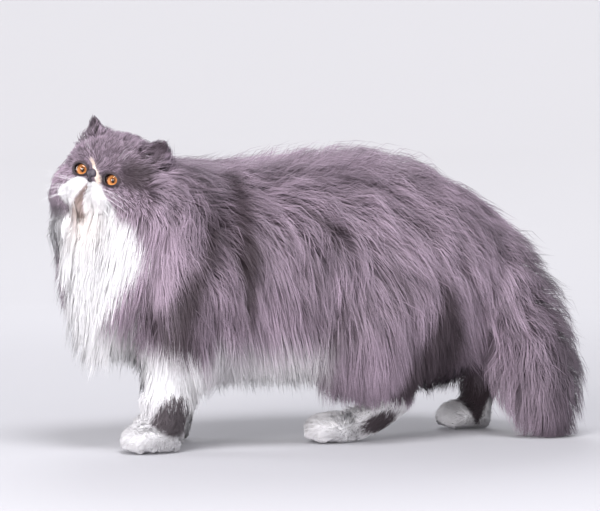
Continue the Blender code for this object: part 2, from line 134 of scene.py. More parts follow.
def makeStage():
    bm = bmesh.new()
    flat, wide, high = stageLook["floorRadius"], stageLook["bowlRadius"], stageLook["bowlHeight"]
    turn = wide - flat
    line = [(0, 0), (flat * 0.5, 0), (flat, 0)]
    for step in range(1, 13):
        angle = math.radians(90 * step / 12)
        line.append((flat + turn * math.sin(angle), turn * (1 - math.cos(angle))))
    line.append((wide, high))
    points = [bm.verts.new((x, 0, z)) for x, z in line]
    edges = [bm.edges.new(pair) for pair in zip(points, points[1:])]
    bmesh.ops.spin(bm, geom=points + edges, axis=(0, 0, 1), cent=(0, 0, 0), steps=96,
                   angle=math.tau, use_merge=True, use_duplicate=False)
    bmesh.ops.remove_doubles(bm, verts=bm.verts[:], dist=0.0001)
    bmesh.ops.recalc_face_normals(bm, faces=bm.faces[:])
    floor = newObject("studioBowl", bm)
    if floor.data.polygons[0].normal.z < 0:
        floor.data.flip_normals()
    floor.data.shade_smooth()
    look, tree, shader = newLook("paleStudio")
    spot = addNode(tree, "TexCoord", {})
    away = addNode(tree, "VectorMath", {0: spot.outputs["Object"]}, operation="LENGTH")
    ramp = addNode(tree, "MapRange", {"Value": away.outputs["Value"], "From Min": stageLook["glowFrom"],
                                      "From Max": stageLook["glowTo"]})
    glow = blended(tree, ramp.outputs["Result"], (0, 0, 0, 1), stageLook["glow"])
    setInputs(tree, shader, {"Base Color": stageLook["colour"], "Roughness": .75, "Specular IOR Level": .15,
                             "Emission Color": glow, "Emission Strength": 1.0})
    floor.data.materials.append(look)

    for name, (place, aim, size, watts, colour, shadows) in lamps.items():
        data = bpy.data.lights.new(name, "AREA")
        data.shape = "DISK"
        data.size = size
        data.energy = watts
        data.color = colour
        data.use_shadow = shadows
        lamp = addObject(name, data)
        lamp.location = place
        lamp.rotation_euler = (Vector(aim) - Vector(place)).to_track_quat("-Z", "Y").to_euler()
        lamp.visible_camera = False

    world = bpy.data.worlds.new("paleRoom")
    world.use_nodes = True
    background = world.node_tree.nodes["Background"]
    setInputs(world.node_tree, background, {"Color": (0.86, 0.87, 0.92, 1), "Strength": 0.22})
    bpy.context.scene.world = world
    bpy.context.scene.view_settings.view_transform = "Standard"


makeCamera()
makeStage()
print("stage and camera are in place")


# The body under the coat: centre, half width, half size above or behind, half size below or in front
bodyRows = {
    "trunk": [
        (-.239, 0, .205, .028, .034, .034), (-.214, 0, .203, .046, .054, .054),
        (-.174, 0, .203, .060, .066, .066), (-.124, 0, .200, .069, .070, .070),
        (-.064, 0, .198, .074, .072, .072), (-.004, 0, .198, .076, .074, .070),
        (.056, 0, .200, .076, .076, .066), (.106, 0, .200, .072, .074, .062),
        (.146, 0, .198, .062, .066, .056), (.176, -.002, .195, .044, .052, .046),
        (.191, -.004, .195, .030, .036, .034),
    ],
    "neck": [
        (-.146, 0, .214, .066, .060, .066), (-.180, -.004, .236, .066, .054, .066),
        (-.206, -.010, .254, .062, .048, .062), (-.228, -.018, .266, .052, .042, .054),
    ],
    "tail": [
        (.140, 0, .222, .026, .028, .028), (.182, -.004, .208, .021, .022, .022),
        (.210, -.016, .172, .018, .019, .019), (.228, -.034, .132, .016, .018, .018),
        (.236, -.051, .094, .015, .017, .017), (.241, -.064, .060, .014, .015, .015),
        (.248, -.073, .036, .011, .012, .012), (.253, -.077, .020, .006, .007, .007),
    ],
    "foreleg": [
        (-.1921, .062, .008, .0165, .018, .018), (-.1891, .062, .030, .0165, .018, .018),
        (-.1851, .061, .060, .0185, .020, .021), (-.1771, .059, .095, .0215, .024, .025),
        (-.1671, .053, .135, .0255, .029, .030), (-.1571, .044, .175, .0260, .032, .032),
        (-.1500, .030, .215, .0180, .022, .022),
    ],
    "hindLegLeft": [
        (.034, -.036, .0145, .0170, .0155, .0150), (.060, -.038, .027, .0165, .0150, .0150),
        (.078, -.040, .044, .0175, .0145, .0165), (.083, -.043, .074, .0190, .0165, .024),
        (.082, -.048, .110, .0270, .028, .038), (.074, -.050, .150, .0340, .042, .050),
        (.066, -.040, .190, .0360, .050, .052),
    ],
    "hindLegRight": [
        (.210, .041, .0165, .0155, .0150, .0145), (.222, .043, .046, .0160, .0150, .0160),
        (.227, .045, .076, .0175, .0165, .020), (.208, .047, .104, .0220, .023, .028),
        (.176, .048, .134, .0290, .035, .038), (.142, .044, .165, .0350, .046, .046),
        (.116, .036, .198, .0360, .050, .050),
    ],
}
forelegRightShift = (.045, -.017)  # backwards, and towards the middle

# A paw along its own length: forward, half width, above, below
pawRows = [
    (-.024, .0130, .0110, .0125), (-.008, .0190, .0150, .0143), (.009, .0222, .0140, .0143),
    (.022, .0180, .0100, .0135), (.029, .0085, .0055, .0075),
]
pawPlaces = {
    "forepawLeft": (-.2001, -.062), "forepawRight": (-.1551, .045),
    "hindpawLeft": (.0119, -.038), "hindpawRight": (.2019, .040),
}
pawCentreHeight = .0143

# The skull in the head's own directions: forward, half width, above, below
skullRows = [
    (-.084, .016, .014, .014), (-.072, .033, .028, .029), (-.056, .045, .038, .038),
    (-.038, .049, .039, .042), (-.022, .0455, .0355, .041), (-.011, .036, .0285, .035),
    (-.0045, .024, .0175, .028),
]
skullRise = .004
# Rounded masses of the face: middle (forward, left, up), radii; those off the middle are on both sides
faceMasses = {
    "cheek": ((-.034, .031, -.020), (.025, .025, .023)),
    "brow": ((-.0135, .018, .0160), (.0115, .0145, .0075)),
    "whiskerPad": ((-.0030, .0128, -.0190), (.0100, .0128, .0115)),
    "jowl": ((-.0070, .0135, -.0290), (.0095, .0105, .0110)),
    "underEye": ((-.0090, .023, -.0120), (.0085, .0110, .0070)),
    "chin": ((-.0080, 0, -.0350), (.0095, .0100, .0100)),
    "throat": ((-.0360, 0, -.0560), (.0280, .0340, .0320)),
    "noseBridge": ((-.0035, 0, .0030), (.0075, .0068, .0115)),
    "noseRoot": ((.0010, 0, -.0045), (.0050, .0066, .0058)),
}
# Rounded masses of the body: middle and radii
bodyMasses = [
    ((.048, -.052, .112), (.046, .032, .050)),  # left thigh
    ((.150, .048, .116), (.048, .032, .050)),  # right thigh
    ((-.165, .038, .180), (.046, .040, .056)),  # right shoulder
    ((-.165, -.038, .180), (.046, .040, .056)),  # left shoulder
]
toeSpread = {"sides": (-1.5, -.5, .5, 1.5), "forward": .0235, "back": .0035, "apart": .0088, "height": .0112}
toeRadii = (.0098, .0058, .0098)

earShape = {
    "root": (-.037, .033, .030),
    "lean": math.radians(24),
    "turn": math.radians(38),
    # along the ear, half width, half thickness
    "rows": [(-.010, .0150, .0075), (.004, .0148, .0068), (.013, .0122, .0052), (.021, .0080, .0040),
             (.0275, .0030, .0026)],
    "hollowFrom": .000,
    "hollowTo": .0265,
    "hollowDeep": .0062,
}

eyeShape = {
    "radius": .0104,
    "offset": .0188,
    "depth": .0092,
    "openWide": .0080,
    "openHigh": .0060,
    "lidOut": .0013,
    "socketIn": .0042,
}

skinLook = {
    "grid": .0026,
    "smoothTimes": 5,
    "noseMiddle": (.0065, -.0012, -.0034),
    "mouthDeep": .0022,
    "mouthWide": .0016,
}


def headPoint(forward, left, up):
    return eyesMiddle + headForward * forward + headLeft * left + headUp * up


def inHead(points):
    return (points - np.array(eyesMiddle)) @ headAxes.T


def addTube(bm, rows, across):
    # Rings along the rows' centres, bridged one to the next, with both ends filled.
    rings = []
    centres = [Vector(row[:3]) for row in rows]
    for place, row in enumerate(rows):
        before, after = centres[max(place - 1, 0)], centres[min(place + 1, len(rows) - 1)]
        along = (after - before).normalized()
        side = (across - along * across.dot(along)).normalized()
        over = side.cross(along)
        if over.z < -0.3 or (abs(over.z) <= 0.3 and over.x < 0):
            over = -over
        half, above, below = row[3:]
        circle = bmesh.ops.create_circle(bm, cap_ends=False, segments=28, radius=1)["verts"]
        for vert in circle:
            x, y = vert.co.x, vert.co.y
            vert.co = centres[place] + side * (x * half) + over * (y * (above if y > 0 else below))
        rings.append(list({edge for vert in circle for edge in vert.link_edges}))
    for first, second in zip(rings, rings[1:]):
        bmesh.ops.bridge_loops(bm, edges=first + second)
    bmesh.ops.holes_fill(bm, edges=rings[0], sides=0)
    bmesh.ops.holes_fill(bm, edges=rings[-1], sides=0)


def addMass(bm, middle, radii, axes, cuts=3):
    turn = Matrix([Vector(axis) for axis in axes]).transposed().to_4x4()
    place = Matrix.Translation(middle) @ turn @ Matrix.Diagonal((*radii, 1))
    bmesh.ops.create_icosphere(bm, subdivisions=cuts, radius=1, matrix=place)


def earAxes(side):
    forward, outward, up = earShape["root"]
    root = headPoint(forward, side * outward, up)
    lean, turn = earShape["lean"], earShape["turn"]
    points = (headUp * math.cos(lean) + headLeft * side * math.sin(lean)).normalized()
    opens = headForward * math.cos(turn) + headLeft * side * math.sin(turn)
    opens = (opens - opens.dot(points) * points).normalized()
    return root, points, opens, points.cross(opens)


def forelegRows(side, back=0.0, inward=0.0):
    return [(x + back, side * (y + inward), *rest) for x, y, *rest in bodyRows["foreleg"]]


def makeBodyForm():
    bm = bmesh.new()
    for name in ("trunk", "neck", "tail", "hindLegLeft", "hindLegRight"):
        addTube(bm, bodyRows[name], sideWays)
    addTube(bm, forelegRows(-1), sideWays)
    addTube(bm, forelegRows(1, *forelegRightShift), sideWays)
    for x, y in pawPlaces.values():
        rows = [(x - forward, y, pawCentreHeight, *sizes) for forward, *sizes in pawRows]
        addTube(bm, rows, sideWays)
        for toe in toeSpread["sides"]:
            along = x - toeSpread["forward"] + abs(toe) * toeSpread["back"]
            middle = Vector((along, y + toe * toeSpread["apart"], toeSpread["height"]))
            addMass(bm, middle, toeRadii, worldAxes)
    skull = [(*headPoint(forward, 0, skullRise), *sizes) for forward, *sizes in skullRows]
    addTube(bm, skull, headLeft)
    for (forward, left, up), radii in faceMasses.values():
        for side in ((1, -1) if left else (1,)):
            addMass(bm, headPoint(forward, left * side, up), radii, headAxes)
    for middle, radii in bodyMasses:
        addMass(bm, Vector(middle), radii, worldAxes)
    for side in (1, -1):
        root, points, _, across = earAxes(side)
        rows = [(*(root + points * along), half, thick, thick) for along, half, thick in earShape["rows"]]
        addTube(bm, rows, across)
    bmesh.ops.recalc_face_normals(bm, faces=bm.faces[:])
    return newObject("skin", bm)


def applyModifiers(thing):
    shaped = thing.evaluated_get(bpy.context.evaluated_depsgraph_get())
    mesh = bpy.data.meshes.new_from_object(shaped)
    thing.modifiers.clear()
    thing.data = mesh


def readPoints(mesh, key="co"):
    flat = np.empty(len(mesh.vertices) * 3, np.float32)
    mesh.vertices.foreach_get(key, flat)
    return flat.reshape(-1, 3).astype(float)


def ease(value, low, high):
    share = np.clip((value - low) / (high - low), 0, 1)
    return share * share * (3 - 2 * share)


def unit(vectors):
    return vectors / np.maximum(np.linalg.norm(vectors, axis=-1, keepdims=True), 1e-9)


def starts(names, *parts):
    return np.logical_or.reduce([np.char.startswith(names, part) for part in parts])


def treeOf(points):
    tree = KDTree(len(points))
    for index, point in enumerate(points):
        tree.insert(point, index)
    tree.balance()
    return tree


def nearestIn(tree, points):
    find = tree.find
    return np.fromiter((find(point)[1] for point in points), np.int64, len(points))


def segmentAway(x, y, first, second):
    # Distance in a plane to a stretch of line, and how far along it the nearest place is.
    (ax, ay), (bx, by) = first, second
    dx, dy = bx - ax, by - ay
    share = np.clip(((x - ax) * dx + (y - ay) * dy) / (dx * dx + dy * dy), 0, 1)
    return np.hypot(x - ax - share * dx, y - ay - share * dy), share


def eyeSpread(local, side):
    # How far a point lies from an eye's middle, 1 at the edge of its opening.
    dl = local[:, 1] - side * eyeShape["offset"]
    du = local[:, 2]
    return np.sqrt((dl / eyeShape["openWide"]) ** 2 + (du / eyeShape["openHigh"]) ** 2)


def nearEyes(local):
    return np.minimum(eyeSpread(local, 1), eyeSpread(local, -1))


def mouthDistance(local):
    # Distance in the face's own plane to the line from the nose down and out under each pad.
    left, up = np.abs(local[:, 1]), local[:, 2]
    line = [(0, -.0085), (0, -.0165), (.0045, -.0215), (.0085, -.0290), (.0115, -.0360)]
    return np.min([segmentAway(left, up, *pair)[0] for pair in zip(line, line[1:])], 0)


def shapeFace(points):
    local = inHead(points)
    front = local[:, 0] > -.020
    for side in (1, -1):
        spread = eyeSpread(local, side)
        dl = local[:, 1] - side * eyeShape["offset"]
        du = local[:, 2]
        near = front & (spread < 2.0)
        sheer = np.minimum(dl ** 2 + du ** 2, .0102 ** 2)
        # inside the opening the skin goes behind the ball, outside it lies on the ball as a lid
        behind = np.sqrt(np.maximum((eyeShape["radius"] - eyeShape["socketIn"]) ** 2 - sheer, 0))
        lid = np.sqrt(np.maximum((eyeShape["radius"] + eyeShape["lidOut"]) ** 2 - sheer, 0))
        behind = behind - eyeShape["depth"]
        lid = lid - eyeShape["depth"]
        share = 1 - ease(spread, 1.15, 1.75)
        rim = near & (spread > .86) & (spread < 1.14)
        dl, du = dl / np.maximum(spread, .5), du / np.maximum(spread, .5)
        local[rim, 1] = (side * eyeShape["offset"] + dl)[rim]
        local[rim, 2] = du[rim]
        spread[rim] = 1
        raised = local[:, 0] * (1 - share) + lid * share
        target = np.where(spread < 1, behind, raised)
        local[near, 0] = target[near]
    line = mouthDistance(local)
    inMouth = front & (local[:, 0] > -.016)
    cut = skinLook["mouthDeep"] * np.exp(-(line / skinLook["mouthWide"]) ** 2)
    local[inMouth, 0] -= cut[inMouth]
    return np.array(eyesMiddle) + local @ headAxes


def earPlace(points, side):
    # Places along an ear, out of its mouth and across it, and how wide its mouth is there.
    root, opening, opens, across = (np.array(v) for v in earAxes(side))
    away = points - root
    along = away @ opening
    rim = np.sqrt(np.clip(1 - (np.maximum(along, 0) / .030) ** 2, .02, 1))
    return along, away @ opens, away @ across, rim, opens


def shapeEars(points):
    middle = (earShape["hollowFrom"] + earShape["hollowTo"]) / 2
    half = (earShape["hollowTo"] - earShape["hollowFrom"]) / 2
    for side in (1, -1):
        along, out, wide, rim, opens = earPlace(points, side)
        bowl = 1 - ((along - middle) / half) ** 2 - (wide / (.0125 * rim)) ** 2
        inside = (bowl > 0) & (out > -.001) & (np.abs(out) < .012) & (along > -.004)
        push = earShape["hollowDeep"] * np.sqrt(np.clip(bowl, 0, 1))
        points[inside] -= opens * push[inside, None]
        # the whole cup bends a little forward at its sides
        cup = (along > .002) & (along < .032) & (np.abs(wide) < .020) & (np.abs(out) < .014)
        bend = .0035 * (wide / .015) ** 2
        points[cup] += opens * bend[cup, None]
    return points


def makeSkin():
    thing = makeBodyForm()
    remesh = thing.modifiers.new("oneSurface", "REMESH")
    remesh.mode = "VOXEL"
    remesh.voxel_size = skinLook["grid"]
    soften = thing.modifiers.new("soften", "SMOOTH")
    soften.factor = 0.5
    soften.iterations = skinLook["smoothTimes"]
    applyModifiers(thing)

    bm = bmesh.new()
    bm.from_mesh(thing.data)
    for reach in (2.6, 1.7):  # a finer mesh round each eye
        chosen = set()
        for edge in bm.edges:
            local = ((edge.verts[0].co + edge.verts[1].co) / 2) - eyesMiddle
            forward, left, up = local.dot(headForward), local.dot(headLeft), local.dot(headUp)
            if forward < -.020 or forward > .02:
                continue
            spread = math.hypot((abs(left) - eyeShape["offset"]) / eyeShape["openWide"],
                                up / eyeShape["openHigh"])
            mouth = abs(left) < .014 and -.040 < up < .004 and reach > 2
            if spread < reach or mouth:
                chosen.add(edge)
        bmesh.ops.subdivide_edges(bm, edges=list(chosen), cuts=1, use_grid_fill=True)
    bmesh.ops.triangulate(bm, faces=[face for face in bm.faces if len(face.verts) > 4])
    points = np.array([vert.co for vert in bm.verts])
    points = shapeEars(shapeFace(points))
    points[:, 2] = np.maximum(points[:, 2], .0006)
    for vert, place in zip(bm.verts, points):
        vert.co = place
    bmesh.ops.recalc_face_normals(bm, faces=bm.faces[:])
    bm.to_mesh(thing.data)
    bm.free()
    thing.data.shade_smooth()
    return thing


skin = makeSkin()
print("skin:", len(skin.data.vertices), "points")


def makeEnvelope():
    # The tips of the coat, as one closed surface round the CAD solids.
    bm = bmesh.new()
    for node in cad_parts.values():
        bm.from_mesh(node.data)
    bmesh.ops.remove_doubles(bm, verts=bm.verts[:], dist=0.00001)
    thing = newObject("coatEnvelope", bm)
    remesh = thing.modifiers.new("oneSurface", "REMESH")
    remesh.mode = "VOXEL"
    remesh.voxel_size = .0035
    applyModifiers(thing)
    tree = BVHTree.FromPolygons([v.co[:] for v in thing.data.vertices],
                                [p.vertices[:] for p in thing.data.polygons])
    bpy.data.objects.remove(thing)
    return tree


def nodeTree():
    points, faces, owner = [], [], []
    for name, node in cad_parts.items():
        start = len(points)
        points.extend(v.co[:] for v in node.data.vertices)
        for polygon in node.data.polygons:
            faces.append([start + corner for corner in polygon.vertices])
            owner.append(name)
    return BVHTree.FromPolygons(points, faces), owner


envelope = makeEnvelope()
solidTree, solidOwner = nodeTree()
skinPoints = readPoints(skin.data)
skinNormals = unit(readPoints(skin.data, "normal"))
skinLocal = inHead(skinPoints)


def ownerOf(points, normals):
    names = []
    for place, normal in zip(points, normals):
        hit = solidTree.ray_cast(Vector(place) + Vector(normal) * .0002, Vector(normal))
        if hit[2] is None:
            hit = solidTree.find_nearest(Vector(place))
        names.append(solidOwner[hit[2]])
    return np.array(names)


def coatDepth(points, normals):
    depth = np.zeros(len(points))
    for place, (point, normal) in enumerate(zip(points, normals)):
        hit = envelope.ray_cast(Vector(point), Vector(normal), .12)
        depth[place] = hit[3] if hit[0] is not None else .004
    return depth


skinOwner = ownerOf(skinPoints, skinNormals)
# the upper legs are covered by the coat of the body
for leg, body, height in (("foreleg_left", "chest", .112), ("foreleg_right", "chest", .112),
                          ("hindleg_left", "thigh_left", .088), ("hindleg_right", "thigh_right", .105)):
    skinOwner[(skinOwner == leg) & (skinPoints[:, 2] > height)] = body


def strayTail():
    # Places on the hind legs that look towards the tail, and so took its name.
    line = np.array([row[:3] for row in bodyRows["tail"]])
    steps = np.linspace(0, len(line) - 1, 60)
    line = np.stack([np.interp(steps, np.arange(len(line)), line[:, axis]) for axis in range(3)], 1)
    away = np.sqrt(((skinPoints[:, None] - line) ** 2).sum(2).min(1))
    return starts(skinOwner, "tail") & (away > .032) & (skinPoints[:, 2] < .15)


stray = strayTail()
nearSide, lowDown = skinPoints[:, 1] < 0, skinPoints[:, 2] < .095
for side, leg, thigh in ((nearSide, "hindleg_left", "thigh_left"),
                         (~nearSide, "hindleg_right", "thigh_right")):
    skinOwner[stray & side & lowDown] = leg
    skinOwner[stray & side & ~lowDown] = thigh
stray = np.isin(skinOwner, ("trunk", "chest", "neck")) & (skinPoints[:, 2] < .11) & (skinPoints[:, 0] < -.08)
skinOwner[stray & ~nearSide] = "foreleg_right"
skinDepth = coatDepth(skinPoints, skinNormals)
edgeEnds = np.array([edge.vertices[:] for edge in skin.data.edges])


def relax(values, times):
    # Averages values over neighbouring points of the skin.
    count = np.bincount(edgeEnds.ravel(), minlength=len(skinPoints)).astype(float)
    wide = values.reshape(len(skinPoints), -1).astype(float)
    for _ in range(times):
        total = np.zeros_like(wide)
        for column in range(wide.shape[1]):
            total[:, column] += np.bincount(edgeEnds[:, 0], wide[edgeEnds[:, 1], column], len(skinPoints))
            total[:, column] += np.bincount(edgeEnds[:, 1], wide[edgeEnds[:, 0], column], len(skinPoints))
        wide = (wide + total) / (1 + count)[:, None]
    return wide.reshape(values.shape)


# How the hair grows on each part: length, tuft half width, tufts per square centimetre, wave, clumping
# and how much it hangs
coatLooks = {
    "head": (.015, .00036, 50, .0003, .18, .10),
    "muzzle": (.0065, .00032, 95, .0001, .20, .05),
    "nose": (.004, .00030, 60, .0000, .15, .00),
    "eye_left": (.0045, .00026, 80, .0000, .15, .00),
    "eye_right": (.0045, .00026, 80, .0000, .15, .00),
    "ear_left": (.0085, .00034, 58, .0002, .25, .00),
    "ear_right": (.0085, .00034, 60, .0002, .25, .00),
    "neck": (.062, .00046, 29, .0010, .16, .25),
    "chest": (.070, .00046, 28, .0010, .15, .40),
    "trunk": (.080, .00048, 21.8, .0007, .30, .40),
    "rump": (.070, .00046, 19.5, .0006, .28, .25),
    "tail_base": (.070, .00044, 33, .0006, .26, .12),
    "tail_middle": (.072, .00044, 46, .0006, .26, .12),
    "tail_tip": (.062, .00042, 53, .0007, .26, .12),
    "foreleg_left": (.030, .00046, 28, .0006, .25, .20),
    "foreleg_right": (.030, .00046, 24, .0006, .25, .20),
    "forepaw_left": (.0110, .00040, 50, .0003, .35, .00),
    "forepaw_right": (.0100, .00040, 40, .0003, .35, .00),
    "thigh_left": (.064, .00046, 25, .0008, .28, .42),
    "thigh_right": (.050, .00050, 19, .0024, .35, .35),
    "hindleg_left": (.028, .00046, 26, .0006, .30, .15),
    "hindleg_right": (.026, .00046, 24, .0008, .30, .15),
    "hindpaw_left": (.0115, .00040, 48, .0003, .35, .00),
    "hindpaw_right": (.0120, .00040, 46, .0003, .35, .00),
}

# Places where the photo shows the coat turning: a point on the side, the way it is combed, its reach
combMarks = {
    "withers": ((-.180, .272), (.62, -.80), .030),
    "shoulderFront": ((-.165, .225), (.34, -1.0), .034),
    "shoulderLow": ((-.175, .175), (.16, -1.0), .035),
    "flankFront": ((-.105, .215), (.55, -.85), .032),
    "swirlOver": ((-.030, .250), (1.0, -.28), .030),
    "swirlPast": ((.020, .235), (.95, -.45), .026),
    "swirlTurn": ((.040, .205), (.45, -1.0), .028),
    "swirlUnder": ((-.035, .195), (-.10, -1.0), .026),
    "flankMiddle": ((-.040, .160), (.22, -1.0), .035),
    "hip": ((.090, .215), (.75, -.75), .040),
    "thighBack": ((.100, .150), (.48, -1.0), .035),
    "thighFront": ((.020, .115), (-.22, -1.0), .028),
    "thighLow": ((.065, .095), (.08, -1.0), .028),
}


faceOwners = ("head", "muzzle", "nose", "eye_left", "eye_right")


def hangField():
    # Low on the sides, under the belly and under the jaw the hair hangs free: how much, and which way.
    f, _, u = skinLocal.T
    z, nz = skinPoints[:, 2], skinNormals[:, 2]
    hang = ease(-nz, .05, .50) * ease(z, .085, .100)
    hang *= np.isin(skinOwner, ("trunk", "chest", "rump", "thigh_left", "thigh_right"))
    fall = np.stack((.16 - .30 * ease(-skinPoints[:, 0], .17, .24), .35 * skinPoints[:, 1] / .06 * .3,
                     -np.ones(len(z))), 1)
    jaw = ease(-u, .022, .032) * ease(f, -.085, -.065) * ease(-nz, -.25, .30)
    jaw *= np.isin(skinOwner, ("head", "muzzle", "neck"))
    fall[jaw > 0] = (-.26, -.12, -1.0)
    return np.clip(relax(np.maximum(hang, jaw), 3), 0, 1), unit(fall)


skinHang, skinFall = hangField()


def headComb():
    # On the head the hair runs away from the nose, then down the cheeks.
    f, l, u = skinLocal.T
    way = np.stack((f - .010, l, u + .004), 1)
    lower = ease(-u, .002, .030)
    wide = ease(np.abs(l), .018, .045)
    way[:, 2] -= .030 * lower + .030 * wide * ease(-u, -.015, .020)
    way[:, 2] -= .055 * ease(-f, .022, .062) * ease(-u, -.024, .012)
    down = ease(np.abs(l), .012, .032) * ease(-f, .004, .030) * ease(-u, -.014, .010)
    behind = ease(np.abs(l), .010, .028) * ease(-f, .036, .060) * ease(-u, -.034, -.008)
    down = np.maximum(down, .85 * behind)[:, None]
    cheekWay = np.stack((np.full(len(f), -.45), .35 * np.sign(l), np.full(len(f), -.85)), 1)
    way = .05 * (unit(way) * (1 - down) + cheekWay * down)
    way[:, 1] += np.sign(l) * .006 * lower
    way[:, 0] -= .012
    # under the jaw it hangs straight down and a little forward into the ruff
    jaw = (ease(-u, .026, .040) * ease(f, -.075, -.045))[:, None]
    return unit(unit(way) * (1 - jaw) + np.array((.10, 0, -1.0)) * jaw) @ headAxes


def combField():
    x, y, z = skinPoints.T
    side = np.sign(y)
    count = len(skinPoints)
    # back to flank: along the back on top, more and more downwards lower on the side
    rise = np.clip((z - .150) / .125, 0, 1)
    angle = np.radians(82 - 74 * ease(rise, .10, 1.0))
    comb = np.stack((np.cos(angle), np.zeros(count), -np.sin(angle)), 1)
    weight = np.full(count, .25)
    total = comb * weight[:, None]
    for (px, pz), (dx, dz), reach in combMarks.values():
        near = np.exp(-((x - px) ** 2 + (z - pz) ** 2) / (2 * reach ** 2))
        along = unit(np.array((dx, 0, dz)))
        total += near[:, None] * along
        weight += near
    comb = total / weight[:, None]

    tailLine = np.array([row[:3] for row in bodyRows["tail"]])
    tailWay = unit(np.gradient(tailLine, axis=0))
    here = starts(skinOwner, "tail")
    comb[here] = tailWay[np.argmin(((skinPoints[here, None] - tailLine) ** 2).sum(2), 1)]
    comb[starts(skinOwner, "foreleg", "hindleg")] = (.10, 0, -1)
    comb[starts(skinOwner, "forepaw", "hindpaw")] = (-.9, 0, -.35)
    here = skinOwner == "chest"
    front = ease(-x, .215, .245)
    comb[here] = np.stack((.26 - .44 * front, .12 * side, -np.ones(count)), 1)[here]
    here = skinOwner == "neck"
    tilt = np.radians(24 + 58 * ease(-z, -.312, -.258))
    comb[here] = np.stack((np.cos(tilt) - .80 * front, .25 * side, -np.sin(tilt)), 1)[here]
    head = np.isin(skinOwner, faceOwners)
    comb[head] = headComb()[head]
    for ear, name in ((1, "ear_left"), (-1, "ear_right")):
        comb[skinOwner == name] = np.array(earAxes(ear)[1])
    comb = relax(comb, 18)
    comb -= skinNormals * (comb * skinNormals).sum(1, keepdims=True)
    comb = unit(comb)
    hang, fall = skinHang[:, None], skinFall
    comb = unit(comb * (1 - hang) + fall * hang)
    # natural disorder: the lie wanders over a few centimetres
    wander = np.array([noise.noise(Vector(p) * 21) + .22 * noise.noise(Vector(p) * 55 + Vector((9, 2, 4)))
                       for p in skinPoints])
    amount = np.where(head, .14, .60) * wander
    across = np.cross(skinNormals, comb)
    return unit(comb * np.cos(amount)[:, None] + across * np.sin(amount)[:, None])


def coatTable():
    names = {name: place for place, name in enumerate(coatLooks)}
    index = np.array([names[name] for name in skinOwner])
    table = np.array(list(coatLooks.values()))[index]
    f, l, u = skinLocal.T
    z = skinPoints[:, 2]
    head = skinOwner == "head"
    # longer on the crown's back and the cheeks than round the eyes
    back = ease(-f, .012, .060)
    cheek = ease(np.abs(l), .020, .040) * ease(-u, -.010, .022)
    table[head, 0] = (.0085 + .022 * back + .018 * cheek)[head]
    for part, top in (("foreleg", .175), ("hindleg", .120)):
        here = starts(skinOwner, part)
        table[here, 0] = (.014 + .034 * ease(z, .035, top))[here]
    # the hair under the jaw and on the cheeks is long enough to reach the coat's outline
    jaw = np.isin(skinOwner, ("head", "muzzle", "neck")) & (u < -.024) & (f > -.070)
    table[jaw, 0] = np.maximum(table[jaw, 0], (.012 + .028 * ease(-u, .024, .040))[jaw])
    legs = starts(skinOwner, "fore", "hind")
    reach = np.minimum(1.5 * skinDepth, .100)
    table[:, 0] = np.where(legs, table[:, 0], np.maximum(table[:, 0], reach))
    table = relax(table, 8)
    for side in (1, -1):
        near = ease(eyeSpread(skinLocal, side), 1.0, 2.6)
        close = (f > -.022)
        table[close, 0] = np.minimum(table[close, 0], .0030 + .0060 * near[close])
    return table


ofShortHair = np.isin(skinOwner, ("head", "muzzle", "nose", "ear_left", "ear_right"))
skinDepth = np.where(ofShortHair, skinDepth, relax(skinDepth, 6))
crown = ease(skinLocal[:, 2], .022, .036) * ease(-skinLocal[:, 0], -.004, .012)
skinDepth = skinDepth + .0050 * crown * (skinOwner == "head")
skinComb = combField()
skinTable = coatTable()
print("coat field ready, deepest coat", round(float(skinDepth.max()), 3))


bodyParts = ("neck", "chest", "trunk", "rump", "thigh_left", "thigh_right")

# The markings, as shares at any point of the coat, so skin and hair agree
markLook = {
    # the edge of the white chest on the left side: height, how far back it reaches
    "bibEdge": [(0.0775, -0.1450), (0.0894, -0.1680), (0.0948, -0.1880), (0.1002, -0.207), (0.1142, -0.2300),
                (0.1293, -0.2465), (0.1477, -0.2534), (0.1617, -0.2372), (0.1747, -0.221), (0.192, -0.2164),
                (0.2103, -0.221), (0.2309, -0.228), (0.2503, -0.2395)],
    "farGreyPatch": ((-.278, .020, .184), (.026, .026, .024)),
    # front edge of the grey patch on the left foreleg: height, place
    "legPatchEdge": [(.014, -.180), (.020, -.192), (.030, -.2055), (.050, -.1967), (.067, -.1859),
                     (.078, -.170)],
    "hindPatch": ((.053, .0205), (.027, .0105), .33),
    "bellyHeight": .100,
    # painted shade in the hollow between the near thigh and the tail: along and up in millimetres
    "hollow": [(109, 172), (120, 169), (144, 118), (167, 73), (165, 41), (67, 41), (76, 84), (91, 102),
               (104, 135)],
}
